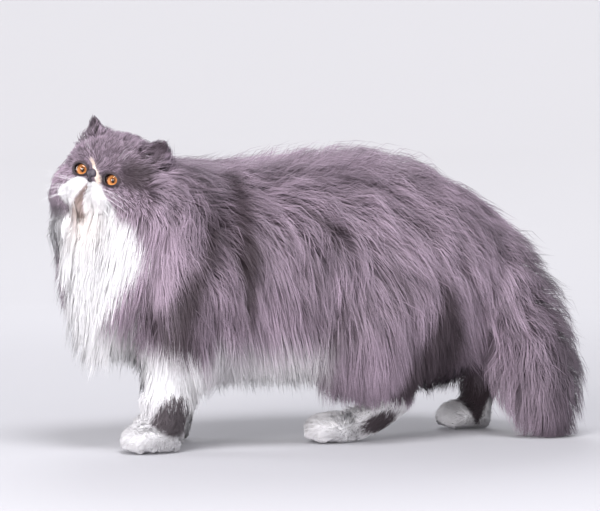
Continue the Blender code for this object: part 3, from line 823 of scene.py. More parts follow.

# Painted shade in the partings and painted light on the locks of the sides: strength, then points (along,
# up, half width) in millimetres
strokes = {
    "dark": [
        (0.9, (-110.3, 282.7, 8.6), (-110.3, 242.7, 10.8), (-108, 199.5, 9.7), (-108, 161.7, 6.5),
         (-104.6, 129.3, 4.3)),
        (0.5, (-150.8, 275.1, 9.7), (-139.3, 242.7, 13), (-127.7, 204.9, 10.8)),
        (0.9, (-141.7, 231.9, 4.3), (-150.9, 196.3, 8.6), (-167.1, 163.9, 13), (-175.7, 131.5, 16.5),
         (-180.6, 99.1, 15.5)),
        (0.7, (-211.1, 150.9, 5.4), (-197.2, 118.5, 7.6), (-162.5, 96.9, 6.5)),
        (0.75, (-52.5, 261.1, 2.4), (-38.6, 246, 3.8), (-27.1, 235.2, 3.8), (-12, 224.4, 5.4),
         (5.3, 226.5, 3.2)),
        (0.8, (-27.1, 217.9, 4.3), (-3.9, 212.5, 3.2)),
        (0.6, (-49, 215.7, 1.9), (-49, 181.2, 2.4)),
        (0.6, (-38.6, 192, 1.9), (-35.2, 153.1, 2.4)),
        (0.8, (-0.5, 163.9, 1.9), (-6.2, 131.5, 2.4), (-14.3, 102.3, 3.8), (-17.8, 73.2, 6.5),
         (-8.5, 59.2, 5.4)),
        (0.6, (0.7, 257.9, 2.7), (21.5, 261.1, 2.2)),
        (0.5, (45.8, 192, 2.7), (57.4, 172.5, 3.8), (69, 150.9, 2.2)),
        (0.5, (22.7, 150.9, 2.4), (7.6, 118.5, 2.8)),
        (0.6, (69, 99.1, 3.2), (86.3, 88.3, 7.6), (97.9, 62.4, 8.6)),
        (0.3, (69, 237.3, 4.3), (100.2, 224.4, 4.3)),
        (0.4, (-138.1, 192, 2.7), (-126.5, 159.6, 2.7)),
        (0.5, (-145.2, 140.1, 4.3), (-133.6, 102.3, 4.3)),
        (0.35, (-52.5, 289.2, 1.5), (-15.5, 281.6, 1.5)),
        (0.35, (5.3, 275.1, 1.9), (53.9, 262.2, 1.9)),
    ],
    "light": [
        (0.8, (-195.9, 278.4, 9.7), (-163.6, 265.4, 8.6), (-138.1, 250.3, 5.4)),
        (0.9, (146, 188.7, 6.5), (172.6, 150.9, 9.7), (191.1, 102.3, 7.6)),
        (0.6, (198, 153.1, 5.4), (221.2, 113.1, 6.5)),
        (1.4, (-199.5, 271.9, 11.8), (-188, 231.9, 15), (-183.3, 196.3, 12.9), (-199.5, 159.6, 8.6)),
        (0.7, (-66.4, 258.9, 4.9), (-57.1, 231.9, 5.9), (-49, 199.5, 4.3)),
        (0.7, (-81.4, 161.7, 6.5), (-69.9, 123.9, 8.6), (-64.1, 96.9, 9.7)),
        (0.5, (-139.3, 142.3, 6.5), (-131.2, 113.1, 7.6)),
        (0.5, (-12, 192, 4.3), (-0.5, 161.7, 4.3)),
        (0.4, (13.4, 150.9, 5.4), (19.2, 107.7, 7.6)),
        (0.6, (-13.2, 145.5, 3.2), (-20.1, 118.5, 3.2)),
        (0.9, (-156.6, 77.5, 14), (-98.8, 73.2, 14), (-38.6, 73.2, 14)),
        (0.8, (-239, 156, 8), (-229, 112, 9)),
        (0.3, (-52.5, 304.3, 7.6), (16.9, 302.1, 7.6), (63.2, 285.9, 7.6)),
        (0.4, (40, 231.9, 7.6), (63.2, 196.3, 7.6)),
        (0.45, (60.9, 156.3, 7.6), (77.1, 118.5, 8.6)),
    ],
}


def noiseAt(points, scale, shift=0.0):
    return np.array([noise.noise(Vector(p) * scale + Vector((shift, 0, 0))) for p in points])


def lineDistance(x, z, rows):
    # Distance to a line whose half width changes along it, in half widths.
    best = np.full(len(x), 9.0)
    for first, second in zip(rows, rows[1:]):
        away, share = segmentAway(x, z, first[:2], second[:2])
        best = np.minimum(best, away / (first[2] + share * (second[2] - first[2])))
    return best


# Outlines on the face in millimetres, to the cat's left and up from the middle of the eyes, each after
# the softness of its edge
faceMarks = {
    "padRight": (1.0, [(-3, -9), (-9, -6.5), (-17, -8), (-25, -14), (-36, -21.5), (-42.5, -29.5), (-36, -35),
                       (-29.5, -39), (-18, -41), (-13, -37), (-8.5, -27), (-4.5, -17)]),
    "padLeft": (1.0, [(-3, -10), (3.5, -7.5), (8.5, -6.5), (13.5, -8.5), (22, -17.5), (26.5, -23),
                      (34, -30.5), (37, -39), (42, -52), (20, -75), (0, -70), (-3, -56), (5, -44),
                      (1, -35), (-2.5, -27), (-1, -16)]),
    "chin": (1.2, [(-3, -12.5), (-7.5, -24.5), (-13.5, -37), (-16, -46), (-9, -53), (-3, -56), (4.5, -44),
                   (.5, -35), (-3, -27), (-1, -16)]),
    "stripe": (.7, [(-13, 13), (-10.5, 14), (-2, 8), (3, 4), (6.5, 0), (10, -8), (7, -9), (3.5, -2),
                    (-3.5, 5)]),
}


def outlineShare(across, up, corners, soft):
    # 1 inside an outline and 0 outside, over a soft edge.
    inside = np.zeros(len(across), bool)
    best = np.full(len(across), 1e9)
    for first, second in zip(corners, corners[1:] + corners[:1]):
        (ax, ay), (bx, by) = first, second
        best = np.minimum(best, segmentAway(across, up, first, second)[0])
        if by != ay:
            inside ^= ((ay > up) != (by > up)) & (across < ax + (bx - ax) * (up - ay) / (by - ay))
    return ease(np.where(inside, best, -best), -soft, soft)


def faceShares(local, wobble):
    f = local[:, 0]
    l, u = local[:, 1] * 1000 + .8 * wobble, local[:, 2] * 1000 + .8 * wobble
    front = ease(f, -.034, -.020)
    shares = {name: outlineShare(l, u, corners, soft) for name, (soft, corners) in faceMarks.items()}
    pads = np.maximum(shares["padRight"], shares["padLeft"])
    return pads * front, shares["chin"] * front, shares["stripe"] * ease(f, -.014, -.008)


def strokeShare(x, z, wobble, kind):
    total = np.zeros(len(x))
    for strength, *rows in strokes[kind]:
        away = lineDistance(x * 1000, z * 1000, rows) + .6 * wobble
        total = np.maximum(total, strength * (1 - ease(away, .4, 1.5)))
    return total


def bodyWhite(x, y, z, wobble):
    # The bib down the chest, and the underside with the fringe that hangs from it.
    edge = np.array(markLook["bibEdge"])
    line = np.interp(z, edge[:, 0], edge[:, 1]) - .014 * ease(y, -.010, .050)
    bib = 1 - ease(x - line + .010 * wobble, -.004, .004)
    middle = ease(.052 - np.abs(y), 0, .012) * (1 - ease(x, -.180, -.160))
    white = np.maximum(bib, middle) * (1 - ease(z, .262, .276))
    (px, py, pz), (rx, ry, rz) = markLook["farGreyPatch"]
    patch = .45 * wobble + ((x - px) / rx) ** 2 + ((y - py) / ry) ** 2 + ((z - pz) / rz) ** 2
    white *= ease(patch, .7, 1.2)
    low = markLook["bellyHeight"] - .022 * ease(-x, .135, .155) + .012 * wobble + .004
    belly = (1 - ease(z, low - .030, low + .010)) * (1 - ease(x, -.030, .000))
    inside = 1 - ease(np.abs(y), .045, .065)
    return np.maximum(white, (.84 + .16 * inside) * belly)


def legMarks(x, y, z, owner, wobble, white):
    # White boots, put into the given white, and the dark patches on them.
    shade = np.zeros(len(x))
    foreleg = starts(owner, "fore")
    height = .118 + .010 * wobble
    white[foreleg] = np.maximum(white, 1 - ease(z, height - .010, height + .010))[foreleg]
    cut = np.array(markLook["legPatchEdge"])
    patch = ease(x - np.interp(z, cut[:, 0], cut[:, 1]) + .005 * wobble, -.003, .004)
    patch *= ease(z + .003 * wobble, .013, .021) * (1 - ease(z + .008 * wobble, .078, .094))
    patch *= (1 - ease(y, -.062, -.052)) * (1 - ease(x, -.158, -.152))
    left = np.isin(owner, ("foreleg_left", "forepaw_left"))
    shade[left] = .94 * patch[left]

    left = np.isin(owner, ("hindleg_left", "hindpaw_left"))
    white[left] = (1 - ease(z + .006 * wobble, .050, .068))[left]
    (hx, hz), (ra, rb), turn = markLook["hindPatch"]
    along = (x - hx) * math.cos(turn) + (z - hz) * math.sin(turn)
    across = (z - hz) * math.cos(turn) - (x - hx) * math.sin(turn)
    patch = (1 - ease((along / ra) ** 2 + (across / rb) ** 2 + .8 * wobble, .65, 1.3)) * (y < -.036)
    shade[left] = .98 * patch[left]
    right = np.isin(owner, ("hindleg_right", "hindpaw_right"))
    white[right] = (1 - ease(z + .004 * wobble, .028, .038))[right]
    wedge = ease(.016 * (z - .001) / .030 - np.abs(x - .207), -.001, .002)
    shade[right] = wedge[right]
    feet = starts(owner, "fore", "hind")
    shade[feet] = np.maximum(shade, np.clip(.09 + .05 * wobble, 0, 1))[feet]
    return shade


def paintedBodyShade(x, y, z, owner, wobble):
    # Painted shade in the partings of the coat, in the hollow by the near thigh and on the woolly far thigh.
    body = ~(starts(owner, "fore") & (z < .088)) & ~starts(owner, "tail")
    body &= ~np.isin(owner, ("head", "muzzle", "ear_left", "ear_right"))
    side = strokeShare(x, z, wobble, "dark") * (np.abs(y) > .02)
    hollow = outlineShare(x * 1000 + 3 * wobble, z * 1000, markLook["hollow"], 6.0) * (y < .03)
    farThighShade = ease(y, .0, .03) * ease(x, .085, .115) * (1 - ease(z, .12, .17))
    return body * np.maximum.reduce((side, .86 * hollow, .70 * farThighShade))


def earCupShade(points, owner):
    # Painted shade in the mouths of the ears.
    shade = np.zeros(len(points))
    for side, name in ((1, "ear_left"), (-1, "ear_right")):
        along, out, wide, rim, _ = earPlace(points, side)
        cup = ease(1 - (wide / (.0120 * rim)) ** 2, .05, .45) * ease(along, -.002, .004)
        cup *= ease(out + .4 * along, -.0030, .0010) * (out < .012)
        shade = np.maximum(shade, .60 * cup * ((owner == name) | (owner == "head")))
    return shade


def marksAt(points, owner, wobble):
    # Shares of white, of dark (dark fur and painted shade) and of cream.
    x, y, z = points.T
    local = inHead(points)
    f, l, u = local.T
    white = bodyWhite(x, y, z, wobble)
    shade = legMarks(x, y, z, owner, wobble, white)
    white = white * (1 - shade)
    # painted shade of the parted coat, its hollow and the far thigh
    dark = paintedBodyShade(x, y, z, owner, wobble)
    shade = np.maximum(shade, earCupShade(points, owner))

    face = np.isin(owner, faceOwners)
    pads, chin, stripe = faceShares(local, wobble)
    # the right cheek and the ruff behind it stay grey down to the throat
    white *= 1 - .9 * ease(-l, .016, .026) * ease(z + .006 * wobble, .236, .252)
    white[face] = (np.maximum(pads, white * ease(-u, .030, .045)) * (1 - .85 * chin))[face]
    white[face] = np.maximum(white, .9 * stripe)[face]
    cream = np.where(face, np.maximum(.8 * stripe, .34 * chin), 0)
    rims = (1 - ease(nearEyes(local), 1.20, 1.55)) * (f > -.02)
    temple = ease(l, .020, .034) * ease(u, -.010, .006) * (1 - ease(u, .020, .034))
    temple *= ease(f, -.062, -.040) * (1 - ease(l, .044, .058))
    shade[face] = np.maximum.reduce((shade, .62 * chin, rims, .80 * temple))[face]
    throat = np.exp(-((l - .006) / .022) ** 2 - ((u + .055) / .022) ** 2) * ease(f, -.06, -.02)
    cream = np.maximum(cream, .32 * throat)
    return np.stack((white, np.maximum(shade, dark * (1 - white)), cream), 1)


def giveAttribute(mesh, name, values):
    layer = mesh.attributes.new(name, "FLOAT", "POINT")
    layer.data.foreach_set("value", np.ascontiguousarray(values, np.float32))


def unwrapSkin():
    bpy.ops.object.select_all(action="DESELECT")
    bpy.context.view_layer.objects.active = skin
    skin.select_set(True)
    bpy.ops.object.mode_set(mode="EDIT")
    bpy.ops.mesh.select_all(action="SELECT")
    bpy.ops.uv.smart_project(angle_limit=math.radians(66), island_margin=.002)
    bpy.ops.object.mode_set(mode="OBJECT")
    skin.data.uv_layers[0].name = "OFBake"


unwrapSkin()
wobble = noiseAt(skinPoints, 34)
skinMarks = marksAt(skinPoints, skinOwner, wobble)
for name, column in (("pale", 0), ("shade", 1), ("cream", 2)):
    giveAttribute(skin.data, name, skinMarks[:, column])
giveAttribute(skin.data, "tip", np.full(len(skinPoints), .12))
giveAttribute(skin.data, "tone", .5 + .3 * noiseAt(skinPoints, 120))
print("skin unwrapped and marked")


# What skin and hair are marked with
coatKeys = ("pale", "shade", "cream", "tip", "tone")

# Rings along a tuft by its length, and the shape of a tuft
tuftLook = {
    "ringsByLength": [(.075, 4), (.0115, 3), (0, 2)],
    "flat": .60,
    "patch": .003,
    "perLock": 12,
    "perBoss": 8,
    "flyaways": .10,
    "steps": 10,
    "widest": .1255,
    "softNormal": .80,
    "legNormal": .55,
}

# Where the fringe of the body's hair ends: place along the body, height
fringeLine = [(-.255, .076), (-.235, .090), (-.215, .092), (-.190, .082), (-.165, .066), (-.130, .058),
              (-.030, .055), (.000, .046), (.030, .048), (.055, .056), (.085, .063), (.250, .063)]


def sampleRoots():
    mesh = skin.data
    mesh.calc_loop_triangles()
    count = len(mesh.loop_triangles)
    corners = np.empty(count * 3, np.int32)
    loops = np.empty(count * 3, np.int32)
    mesh.loop_triangles.foreach_get("vertices", corners)
    mesh.loop_triangles.foreach_get("loops", loops)
    corners, loops = corners.reshape(-1, 3), loops.reshape(-1, 3)
    flat = np.empty(len(mesh.loops) * 2, np.float32)
    mesh.uv_layers["OFBake"].data.foreach_get("uv", flat)
    unwrap = flat.reshape(-1, 2).astype(float)
    a, b, c = (skinPoints[corners[:, place]] for place in range(3))
    area = np.linalg.norm(np.cross(b - a, c - a), axis=1) / 2
    density = skinTable[:, 2].copy()
    face = skinLocal[:, 0] > -.022
    density[face & (nearEyes(skinLocal) < 1.16)] = 0
    density[face & (mouthDistance(skinLocal) < .0009)] = 0
    middle = np.array(skinLook["noseMiddle"])
    leather = np.linalg.norm((skinLocal - middle) / (.009, .0054, .0072), axis=1)
    density[leather < 1] = 0
    density[(skinNormals[:, 2] < -.7) & (skinPoints[:, 2] < .012)] = 0
    weight = area * 1e4 * density[corners].mean(1)
    total = int(weight.sum())
    ends = np.cumsum(weight)
    picks = (np.arange(total) + dice.random(total)) / total * ends[-1]
    chosen = np.minimum(np.searchsorted(ends, picks), count - 1)
    first, second = np.sqrt(dice.random(total)), dice.random(total)
    shares = np.stack((1 - first, first * (1 - second), first * second), 1)
    picked = corners[chosen]
    places = (skinPoints[picked] * shares[..., None]).sum(1)
    uvs = (unwrap[loops[chosen]] * shares[..., None]).sum(1)
    nearest = picked[np.arange(total), shares.argmax(1)]
    return places, uvs, nearest


skinTree = treeOf(skinPoints)
growNormals = unit(relax(skinNormals, 10))
growNormals[ofShortHair] = skinNormals[ofShortHair]
pathShare = np.linspace(0, 1, tuftLook["steps"] + 1)[None]


def growPaths(roots, start, length, layer, twist, droop, lie, falls):
    # Each tuft leaves the skin, rises to its own layer of the coat and then lies along it.
    steps = tuftLook["steps"]
    here = roots.copy()
    near = start
    heading = unit(growNormals[near] * .8 + skinComb[near])
    paths = [here.copy()]
    overs = [growNormals[near].copy()]
    stride = (length / steps)[:, None]
    lean = np.clip(twist, -.2, .2)[:, None]
    # the short hair of the head doesn't stand up out of a hollow
    most = np.where((skinOwner[start] == "head") & (skinLocal[start, 2] > -.030), .6, 9.0) * length
    for step in range(steps):
        share = (step + 1) / steps
        normal, comb = growNormals[near], skinComb[near]
        across = np.cross(normal, comb)
        flow = comb * np.cos(twist)[:, None] + across * np.sin(twist)[:, None]
        height = ((here - skinPoints[near]) * normal).sum(1)
        wanted = np.minimum(skinDepth[near] * layer, most) * (1 - (1 - share) ** 2.8)
        rise = np.clip((wanted - height) / stride[:, 0], -.55, 2.4)
        flow = flow * lie[near][:, None]
        # low on the sides it no longer follows the body but falls free
        free = ease(falls - here[:, 2], 0, .045)[:, None]
        flow = flow * (1 - free) + (np.array((.08, 0, -1.0)) + lean * np.array((1.3, 0, 0))) * free
        rise = rise * (1 - .85 * free[:, 0])
        way = unit(flow + normal * rise[:, None] + np.array((0, 0, -1.0)) * (droop * share)[:, None])
        heading = unit(heading * .35 + way * .65)
        here = here + heading * stride
        paths.append(here.copy())
        overs.append(normal)
        near = nearestIn(skinTree, here)
    return np.stack(paths, 1), np.stack(overs, 1)


def alongPath(paths, shares):
    # Points of each path at the given shares of its length.
    steps = paths.shape[1] - 1
    spot = np.clip(shares, 0, 1) * steps
    low = np.minimum(spot.astype(int), steps - 1)
    part = (spot - low)[..., None]
    rows = np.arange(len(paths))[:, None]
    return paths[rows, low] * (1 - part) + paths[rows, low + 1] * part


def keepInside(points, allowed):
    # Brings points back that lie further out of the coat's outline than they are allowed.
    find = envelope.find_nearest
    for index, most in enumerate(allowed):
        spot = Vector(points[index])
        near, normal, _, away = find(spot)
        if away > most and (spot - near).dot(normal) > 0:
            points[index] = near + normal * float(most)


def hangDown(paths, roots, start, length, layer):
    # Hair under the body leaves the skin and hangs straight to the coat's lower outline.
    share = pathShare[0, :, None]
    length = length.copy()
    for place in np.flatnonzero(skinHang[start] > .02):
        index = start[place]
        fall, hang = skinFall[index], skinHang[index]
        fall = unit(fall + dice.normal(0, .09, 3))
        hit = envelope.ray_cast(Vector(roots[place]), Vector(fall), .095)
        deep = hit[3] if hit[0] is not None else .06
        long = deep * dice.uniform(.78, 1.08) * (.72 + .28 * layer[place])
        out = skinNormals[index] * (.16 * long)
        path = roots[place] + share * fall * long + (1 - (1 - share) ** 2) * out
        paths[place] = paths[place] * (1 - hang) + path * hang
        length[place] = length[place] * (1 - hang) + long * hang
    return paths, np.maximum(length, .006)


def gatherLocks(coat, leaders, mine, clump, low):
    # Leaders lean to a bigger lock, and the other tufts to their leader.
    paths, length = coat["paths"], coat["length"]
    lockPaths = paths[leaders]
    bosses = np.flatnonzero(dice.random(len(leaders)) < 1 / tuftLook["perBoss"])
    bossPaths = lockPaths[bosses][nearestIn(treeOf(lockPaths[bosses, 0]), lockPaths[:, 0])]
    apart = np.linalg.norm(bossPaths[:, 0] - lockPaths[:, 0], axis=1)
    pull = .26 * pathShare ** 1.5 * (1 - ease(apart, .020, .034))[:, None]
    lockPaths = lockPaths + (bossPaths - lockPaths) * pull[..., None]
    ratio = np.clip(length / length[leaders][mine], .3, 1.0)
    target = alongPath(lockPaths[mine], pathShare * ratio[:, None])
    near = 1 - ease(np.linalg.norm(lockPaths[mine, 0] - coat["roots"], axis=1), .010, .020)
    gather = (clump * (.75 + .5 * dice.random(len(paths))) + .22 * low) * near
    gather[coat["fly"]] *= .15
    coat["paths"] = paths + (target - paths) * (gather[:, None] * pathShare ** 1.25)[..., None]


def waveHair(coat, count, mine, wave):
    # Each lock has its own waves, and each tuft a little more.
    paths = coat["paths"]
    across = unit(np.cross(coat["overs"], unit(np.gradient(paths, axis=1))))
    phase = dice.random(count) * math.tau
    turns = 2.2 + 1.2 * dice.random(count)
    swing = np.sin(pathShare * turns[mine][:, None] * math.pi + phase[mine][:, None])
    ripple = np.sin(pathShare * 9 + dice.random(len(paths))[:, None] * math.tau)
    size = wave[:, None] * np.minimum(pathShare * 1.6, 1)
    coat["paths"] = paths + across * ((1.1 * swing + .45 * ripple) * size)[..., None]


def trimFringe(coat, tone):
    # Hair of the body ends at the fringe and doesn't run on down the legs.
    rows = np.array(fringeLine)
    tips, top = coat["paths"][:, -1], coat["roots"][:, 2]
    lowest = np.interp(tips[:, 0], rows[:, 0], rows[:, 1]) + .005 * dice.normal(0, 1, len(tips))
    lowest = lowest - .020 * (tips[:, 1] > 0) * ease(tips[:, 0], .07, .10)
    lowest = lowest + .008 * np.clip(tone, -.8, 1.8)
    ratio = np.clip((top - lowest) / np.maximum(top - tips[:, 2], .001), .35, 1)
    ratio = np.where(starts(coat["owner"], "fore", "hind", "tail"), 1, ratio)
    coat["paths"] = alongPath(coat["paths"], pathShare * ratio[:, None])
    coat["length"] = coat["length"] * ratio


def growCoat():
    roots, uvs, start = sampleRoots()
    total = len(roots)
    owner, table = skinOwner[start], skinTable[start]
    length = table[:, 0] * (1 - .30 * dice.random(total) ** 1.5)
    # some tufts lead a lock, and the others belong to the nearest leader
    leaders = np.flatnonzero(dice.random(total) < 1 / tuftLook["perLock"])
    count = len(leaders)
    lift = roots + skinNormals[start] * .004
    mine = nearestIn(treeOf(lift[leaders]), lift)
    lockLayer = 1.02 - .38 * dice.random(count) ** 1.8
    lockTwist = dice.normal(0, .16, count)
    lockTone = dice.normal(0, 1, count)[mine]
    lockLength = 1 + .12 * dice.normal(0, 1, count)
    layer = lockLayer[mine] + dice.normal(0, .05, total)
    # the white hair of the bib lies more evenly
    calm = marksAt(roots, owner, np.zeros(total))[:, 0] * np.isin(owner, ("neck", "chest"))
    layer = layer + calm * (.97 - layer) * .7 * (dice.random(total) < .7)
    twist = lockTwist[mine] + dice.normal(0, .08, total)
    length = length * np.clip(lockLength[mine], .7, 1.25)
    fly = dice.random(total) < tuftLook["flyaways"]
    layer[fly] = .92 + .36 * dice.random(fly.sum())
    twist[fly] += dice.normal(0, .32, fly.sum())
    layer = np.clip(layer, .15, 1.28) + .60 * (np.char.find(owner, "paw") > 0) * dice.random(total)
    # under the belly the hair hangs instead of lying along it
    lie = 1 - .40 * ease(-skinNormals[:, 2], .35, .85) * (skinPoints[:, 2] > .09)
    falls = np.where(np.isin(owner, ("trunk", "chest", "thigh_left")), .150, 0)
    falls[starts(owner, "tail")] = .085
    low = (falls > 0) * ease(.185 - roots[:, 2], 0, .05) * ease(-roots[:, 0], -.10, -.02)
    low = low * (1 - ease(-roots[:, 0], .185, .205))
    length = length * (1 + .55 * low)
    paths, overs = growPaths(roots, start, length, layer, twist, table[:, 5], lie, falls)
    paths, length = hangDown(paths, roots, start, length, layer)
    print("tufts grown:", total, "in", count, "locks")
    white = marksAt(alongPath(paths, np.full((total, 1), .5))[:, 0], owner, np.zeros(total))[:, 0]
    coat = {"roots": roots, "uvs": uvs, "start": start, "owner": owner, "fly": fly, "paths": paths,
            "overs": overs, "length": length, "white": white * np.isin(owner, bodyParts)}
    gatherLocks(coat, leaders, mine, table[:, 4], low)
    waveHair(coat, count, mine, table[:, 3])
    coat["tone"] = np.clip(.5 + .17 * lockTone + dice.normal(0, .14, total), 0, 1)
    trimFringe(coat, lockTone)
    coat["width"] = table[:, 1] * (.75 + .5 * dice.random(total))
    return coat


def tuftPattern(rings):
    # Faces of one tuft and the place of each corner in its patch.
    faces = [[2, 1, 0]]
    spots = [[(.1, 0), (.5, 0), (.9, 0)]]
    for ring in range(rings - 1):
        for side in range(3):
            after = (side + 1) % 3
            low, high = ring / rings, (ring + 1) / rings
            faces.append([ring * 3 + side, ring * 3 + after, ring * 3 + 3 + after, ring * 3 + 3 + side])
            spots.append([(side / 3, low), ((side + 1) / 3, low), ((side + 1) / 3, high), (side / 3, high)])
    last = (rings - 1) * 3
    for side in range(3):
        faces.append([last + side, last + (side + 1) % 3, last + 3])
        low = (rings - 1) / rings
        spots.append([(side / 3, low), ((side + 1) / 3, low), ((side + .5) / 3, 1)])
    return faces, spots


def litNormals(centres, overs, along):
    # Hair that hangs is lit as an upright surface.
    upright = overs.copy()
    under = ease(-overs[..., 2], -.10, .30) * (1 - ease(-centres[..., 0], .16, .19))
    upright[..., 1] += 1.4 * under * np.clip(centres[..., 1] / .04, -1, 1)
    upright[..., 2] = np.maximum(upright[..., 2], -.10)
    return unit(upright - along * (upright * along).sum(2, keepdims=True))


def tuftMarks(coat, chosen, centres):
    # Markings are read ring by ring, but high on the front a whole tuft is either grey or white.
    count, rings = centres.shape[:2]
    owner = coat["owner"][chosen]
    middle = alongPath(coat["paths"][chosen], np.full((count, 1), .6))[:, 0]
    wobble = noiseAt(middle, 34) + dice.normal(0, .35, count)
    flat, wobbles = centres.reshape(-1, 3), np.repeat(wobble, rings)
    marks = marksAt(flat, np.repeat(owner, rings), wobbles).reshape(count, rings, 3)
    whole = marksAt(middle, owner, wobble)[:, :1]
    ofBody, ofTail = np.isin(owner, bodyParts), starts(owner, "tail")
    ofFront = (ofBody * ease(-middle[:, 0], .165, .185))[:, None] * ease(centres[..., 2], .090, .112)
    marks[..., 0] = marks[..., 0] * (1 - ofFront) + whole * ofFront

    f, l, u = inHead(middle).T
    striped = ofBody | ofTail | ((owner == "head") & (f < -.042))
    # painted light on the lighter locks
    light = strokeShare(flat[:, 0], flat[:, 2], wobbles, "light").reshape(count, rings)
    broad = noiseAt(middle, 26, 5.0) * ofBody
    # painted light lifts the lower cheeks and the far cheek; the head's other tone is random
    cheek = ease(-u, -.004, .020)
    farCheekLight = ease(-l, .018, .034) * ease(-u, -.006, .012)
    onHead = (.56 * cheek + .34 * noiseAt(middle, 70, 9.0) + .35 * farCheekLight) * np.isin(owner, ("head", "muzzle"))
    onTail = ofTail * (.08 + .56 * ease(middle[:, 0], .215, .265))
    tone = (coat["tone"][chosen] + .36 * broad + onHead - onTail)[:, None] + .50 * light * striped[:, None]
    if "pale" in coat:  # whiskers and wisps have their own colour
        marks[:] = 0
        marks[..., 0] = coat["pale"][chosen][:, None]
    return marks, tone


def tuftMesh(coat, chosen, rings):
    # Closed three-sided tapering tufts, as arrays for one mesh.
    count = len(chosen)
    owner, start = coat["owner"][chosen], coat["start"][chosen]
    shares = np.repeat(((np.arange(rings + 1) / rings) ** 1.15)[None], count, 0)
    centres = alongPath(coat["paths"][chosen], shares)
    overs = alongPath(coat["overs"][chosen], shares)
    flat = centres.reshape(-1, 3)
    if "pale" not in coat:
        # the free ends of the fringe and of the tail may pass the outline most
        free = .011 * ease(.125 - centres[..., 2], 0, .02) * np.isin(owner, bodyParts)[:, None]
        free += .014 * ease(.07 - centres[..., 2], 0, .03) * (owner == "tail_tip")[:, None]
        allowed = np.where(coat["fly"][chosen], .0080, .0026) + .004 * skinHang[start] + .0055 * crown[start]
        keepInside(flat, ((allowed[:, None] + free) * shares + .0002).ravel())
    flat[:, 1] = np.clip(flat[:, 1], -tuftLook["widest"], tuftLook["widest"])
    flat[:, 2] = np.maximum(flat[:, 2], .0010)
    centres = flat.reshape(count, rings + 1, 3)
    along = unit(np.gradient(centres, axis=1))
    side = unit(np.cross(overs, along) + 1e-6)
    over = np.cross(along, side)
    roll = dice.normal(0, .45, count)[:, None, None]
    side, over = side * np.cos(roll) + over * np.sin(roll), over * np.cos(roll) - side * np.sin(roll)
    taper = (.55 + .45 * ease(shares, 0, .22)) * (1 - shares ** 1.9) ** .8
    wide = coat["width"][chosen][:, None] * taper
    if "pale" not in coat:
        wide = wide * (1 + .75 * coat["white"][chosen][:, None])
    facing = litNormals(centres, overs, along)
    soft = np.where(starts(owner, "fore", "hind"), tuftLook["legNormal"], tuftLook["softNormal"])
    soft = soft[:, None, None]
    points, normals = np.empty((2, count, rings * 3 + 1, 3))
    for corner in range(3):
        angle = math.tau * corner / 3 + math.pi / 6
        offset = side * (math.cos(angle) * wide)[..., None]
        offset = offset + over * (math.sin(angle) * tuftLook["flat"] * wide)[..., None]
        points[:, corner:rings * 3:3] = (centres + offset)[:, :rings]
        normals[:, corner:rings * 3:3] = unit(unit(offset) * (1 - soft) + facing * soft)[:, :rings]
    points[:, -1] = centres[:, -1]
    normals[:, -1] = facing[:, -1]
    points[..., 2] = np.maximum(points[..., 2], .0006)

    faces, spots = tuftPattern(rings)
    loops = np.concatenate(faces) + (np.arange(count) * (rings * 3 + 1))[:, None]
    uvs = coat["uvs"][chosen][:, None] + (np.concatenate(spots) - .5) * tuftLook["patch"]
    marks, tone = tuftMarks(coat, chosen, centres)
    ring = np.minimum(np.arange(rings * 3 + 1) // 3, rings)
    found = {"points": points.reshape(-1, 3), "normals": normals.reshape(-1, 3), "loops": loops.ravel(),
             "sizes": np.tile([len(face) for face in faces], count), "uvs": uvs.reshape(-1, 2),
             "tip": np.tile(ring / rings, count), "tone": tone[:, ring].ravel()}
    for column, key in enumerate(("pale", "shade", "cream")):
        found[key] = marks[:, ring, column].ravel()
    return found


def makeTufts(name, coat, chosen):
    batches, start, longest = [], 0, 9.0
    length = coat["length"][chosen]
    for shortest, rings in tuftLook["ringsByLength"]:
        here = chosen[(length >= shortest) & (length < longest)]
        longest = shortest
        if len(here):
            batch = tuftMesh(coat, here, rings)
            batch["loops"] += start
            start += len(batch["points"])
            batches.append(batch)
    whole = {key: np.concatenate([batch[key] for batch in batches]) for key in batches[0]}
    mesh = bpy.data.meshes.new(name)
    mesh.vertices.add(len(whole["points"]))
    mesh.vertices.foreach_set("co", whole["points"].astype(np.float32).ravel())
    mesh.loops.add(len(whole["loops"]))
    mesh.loops.foreach_set("vertex_index", whole["loops"].astype(np.int32))
    mesh.polygons.add(len(whole["sizes"]))
    firsts = np.concatenate(([0], np.cumsum(whole["sizes"])[:-1])).astype(np.int32)
    mesh.polygons.foreach_set("loop_start", firsts)
    mesh.update(calc_edges=True)
    mesh.validate()
    layer = mesh.uv_layers.new(name="OFBake")
    layer.data.foreach_set("uv", whole["uvs"].astype(np.float32).ravel())
    for key in coatKeys:
        giveAttribute(mesh, key, whole[key])
    mesh.shade_smooth()
    mesh.normals_split_custom_set_from_vertices(whole["normals"])
    triangles = int((whole["sizes"] - 2).sum())
    print(name, len(chosen), "tufts,", triangles, "triangles")
    return addObject(name, mesh), triangles


def coatPieces(coat):
    owner, places = coat["owner"], coat["roots"]
    left = places[:, 1] < 0
    faceParts = ("head", "muzzle", "nose", "eye_left", "eye_right", "ear_left", "ear_right")
    front = np.isin(owner, ("neck", "chest"))
    top = (np.abs(places[:, 1]) < .055) & (places[:, 2] > .2)
    trunk = (owner == "trunk") & ~top
    rear = np.isin(owner, ("rump", "thigh_left", "thigh_right"))
    return {
        "coatHead": np.isin(owner, faceParts),
        "coatChestLeft": front & left,
        "coatChestRight": front & ~left,
        "coatBack": (owner == "trunk") & top,
        "coatFlankLeft": trunk & left,
        "coatFlankRight": trunk & ~left,
        "coatHaunchLeft": rear & left,
        "coatHaunchRight": rear & ~left,
        "coatTail": starts(owner, "tail"),
        "coatForelegs": starts(owner, "fore"),
        "coatHindlegs": starts(owner, "hind"),
    }


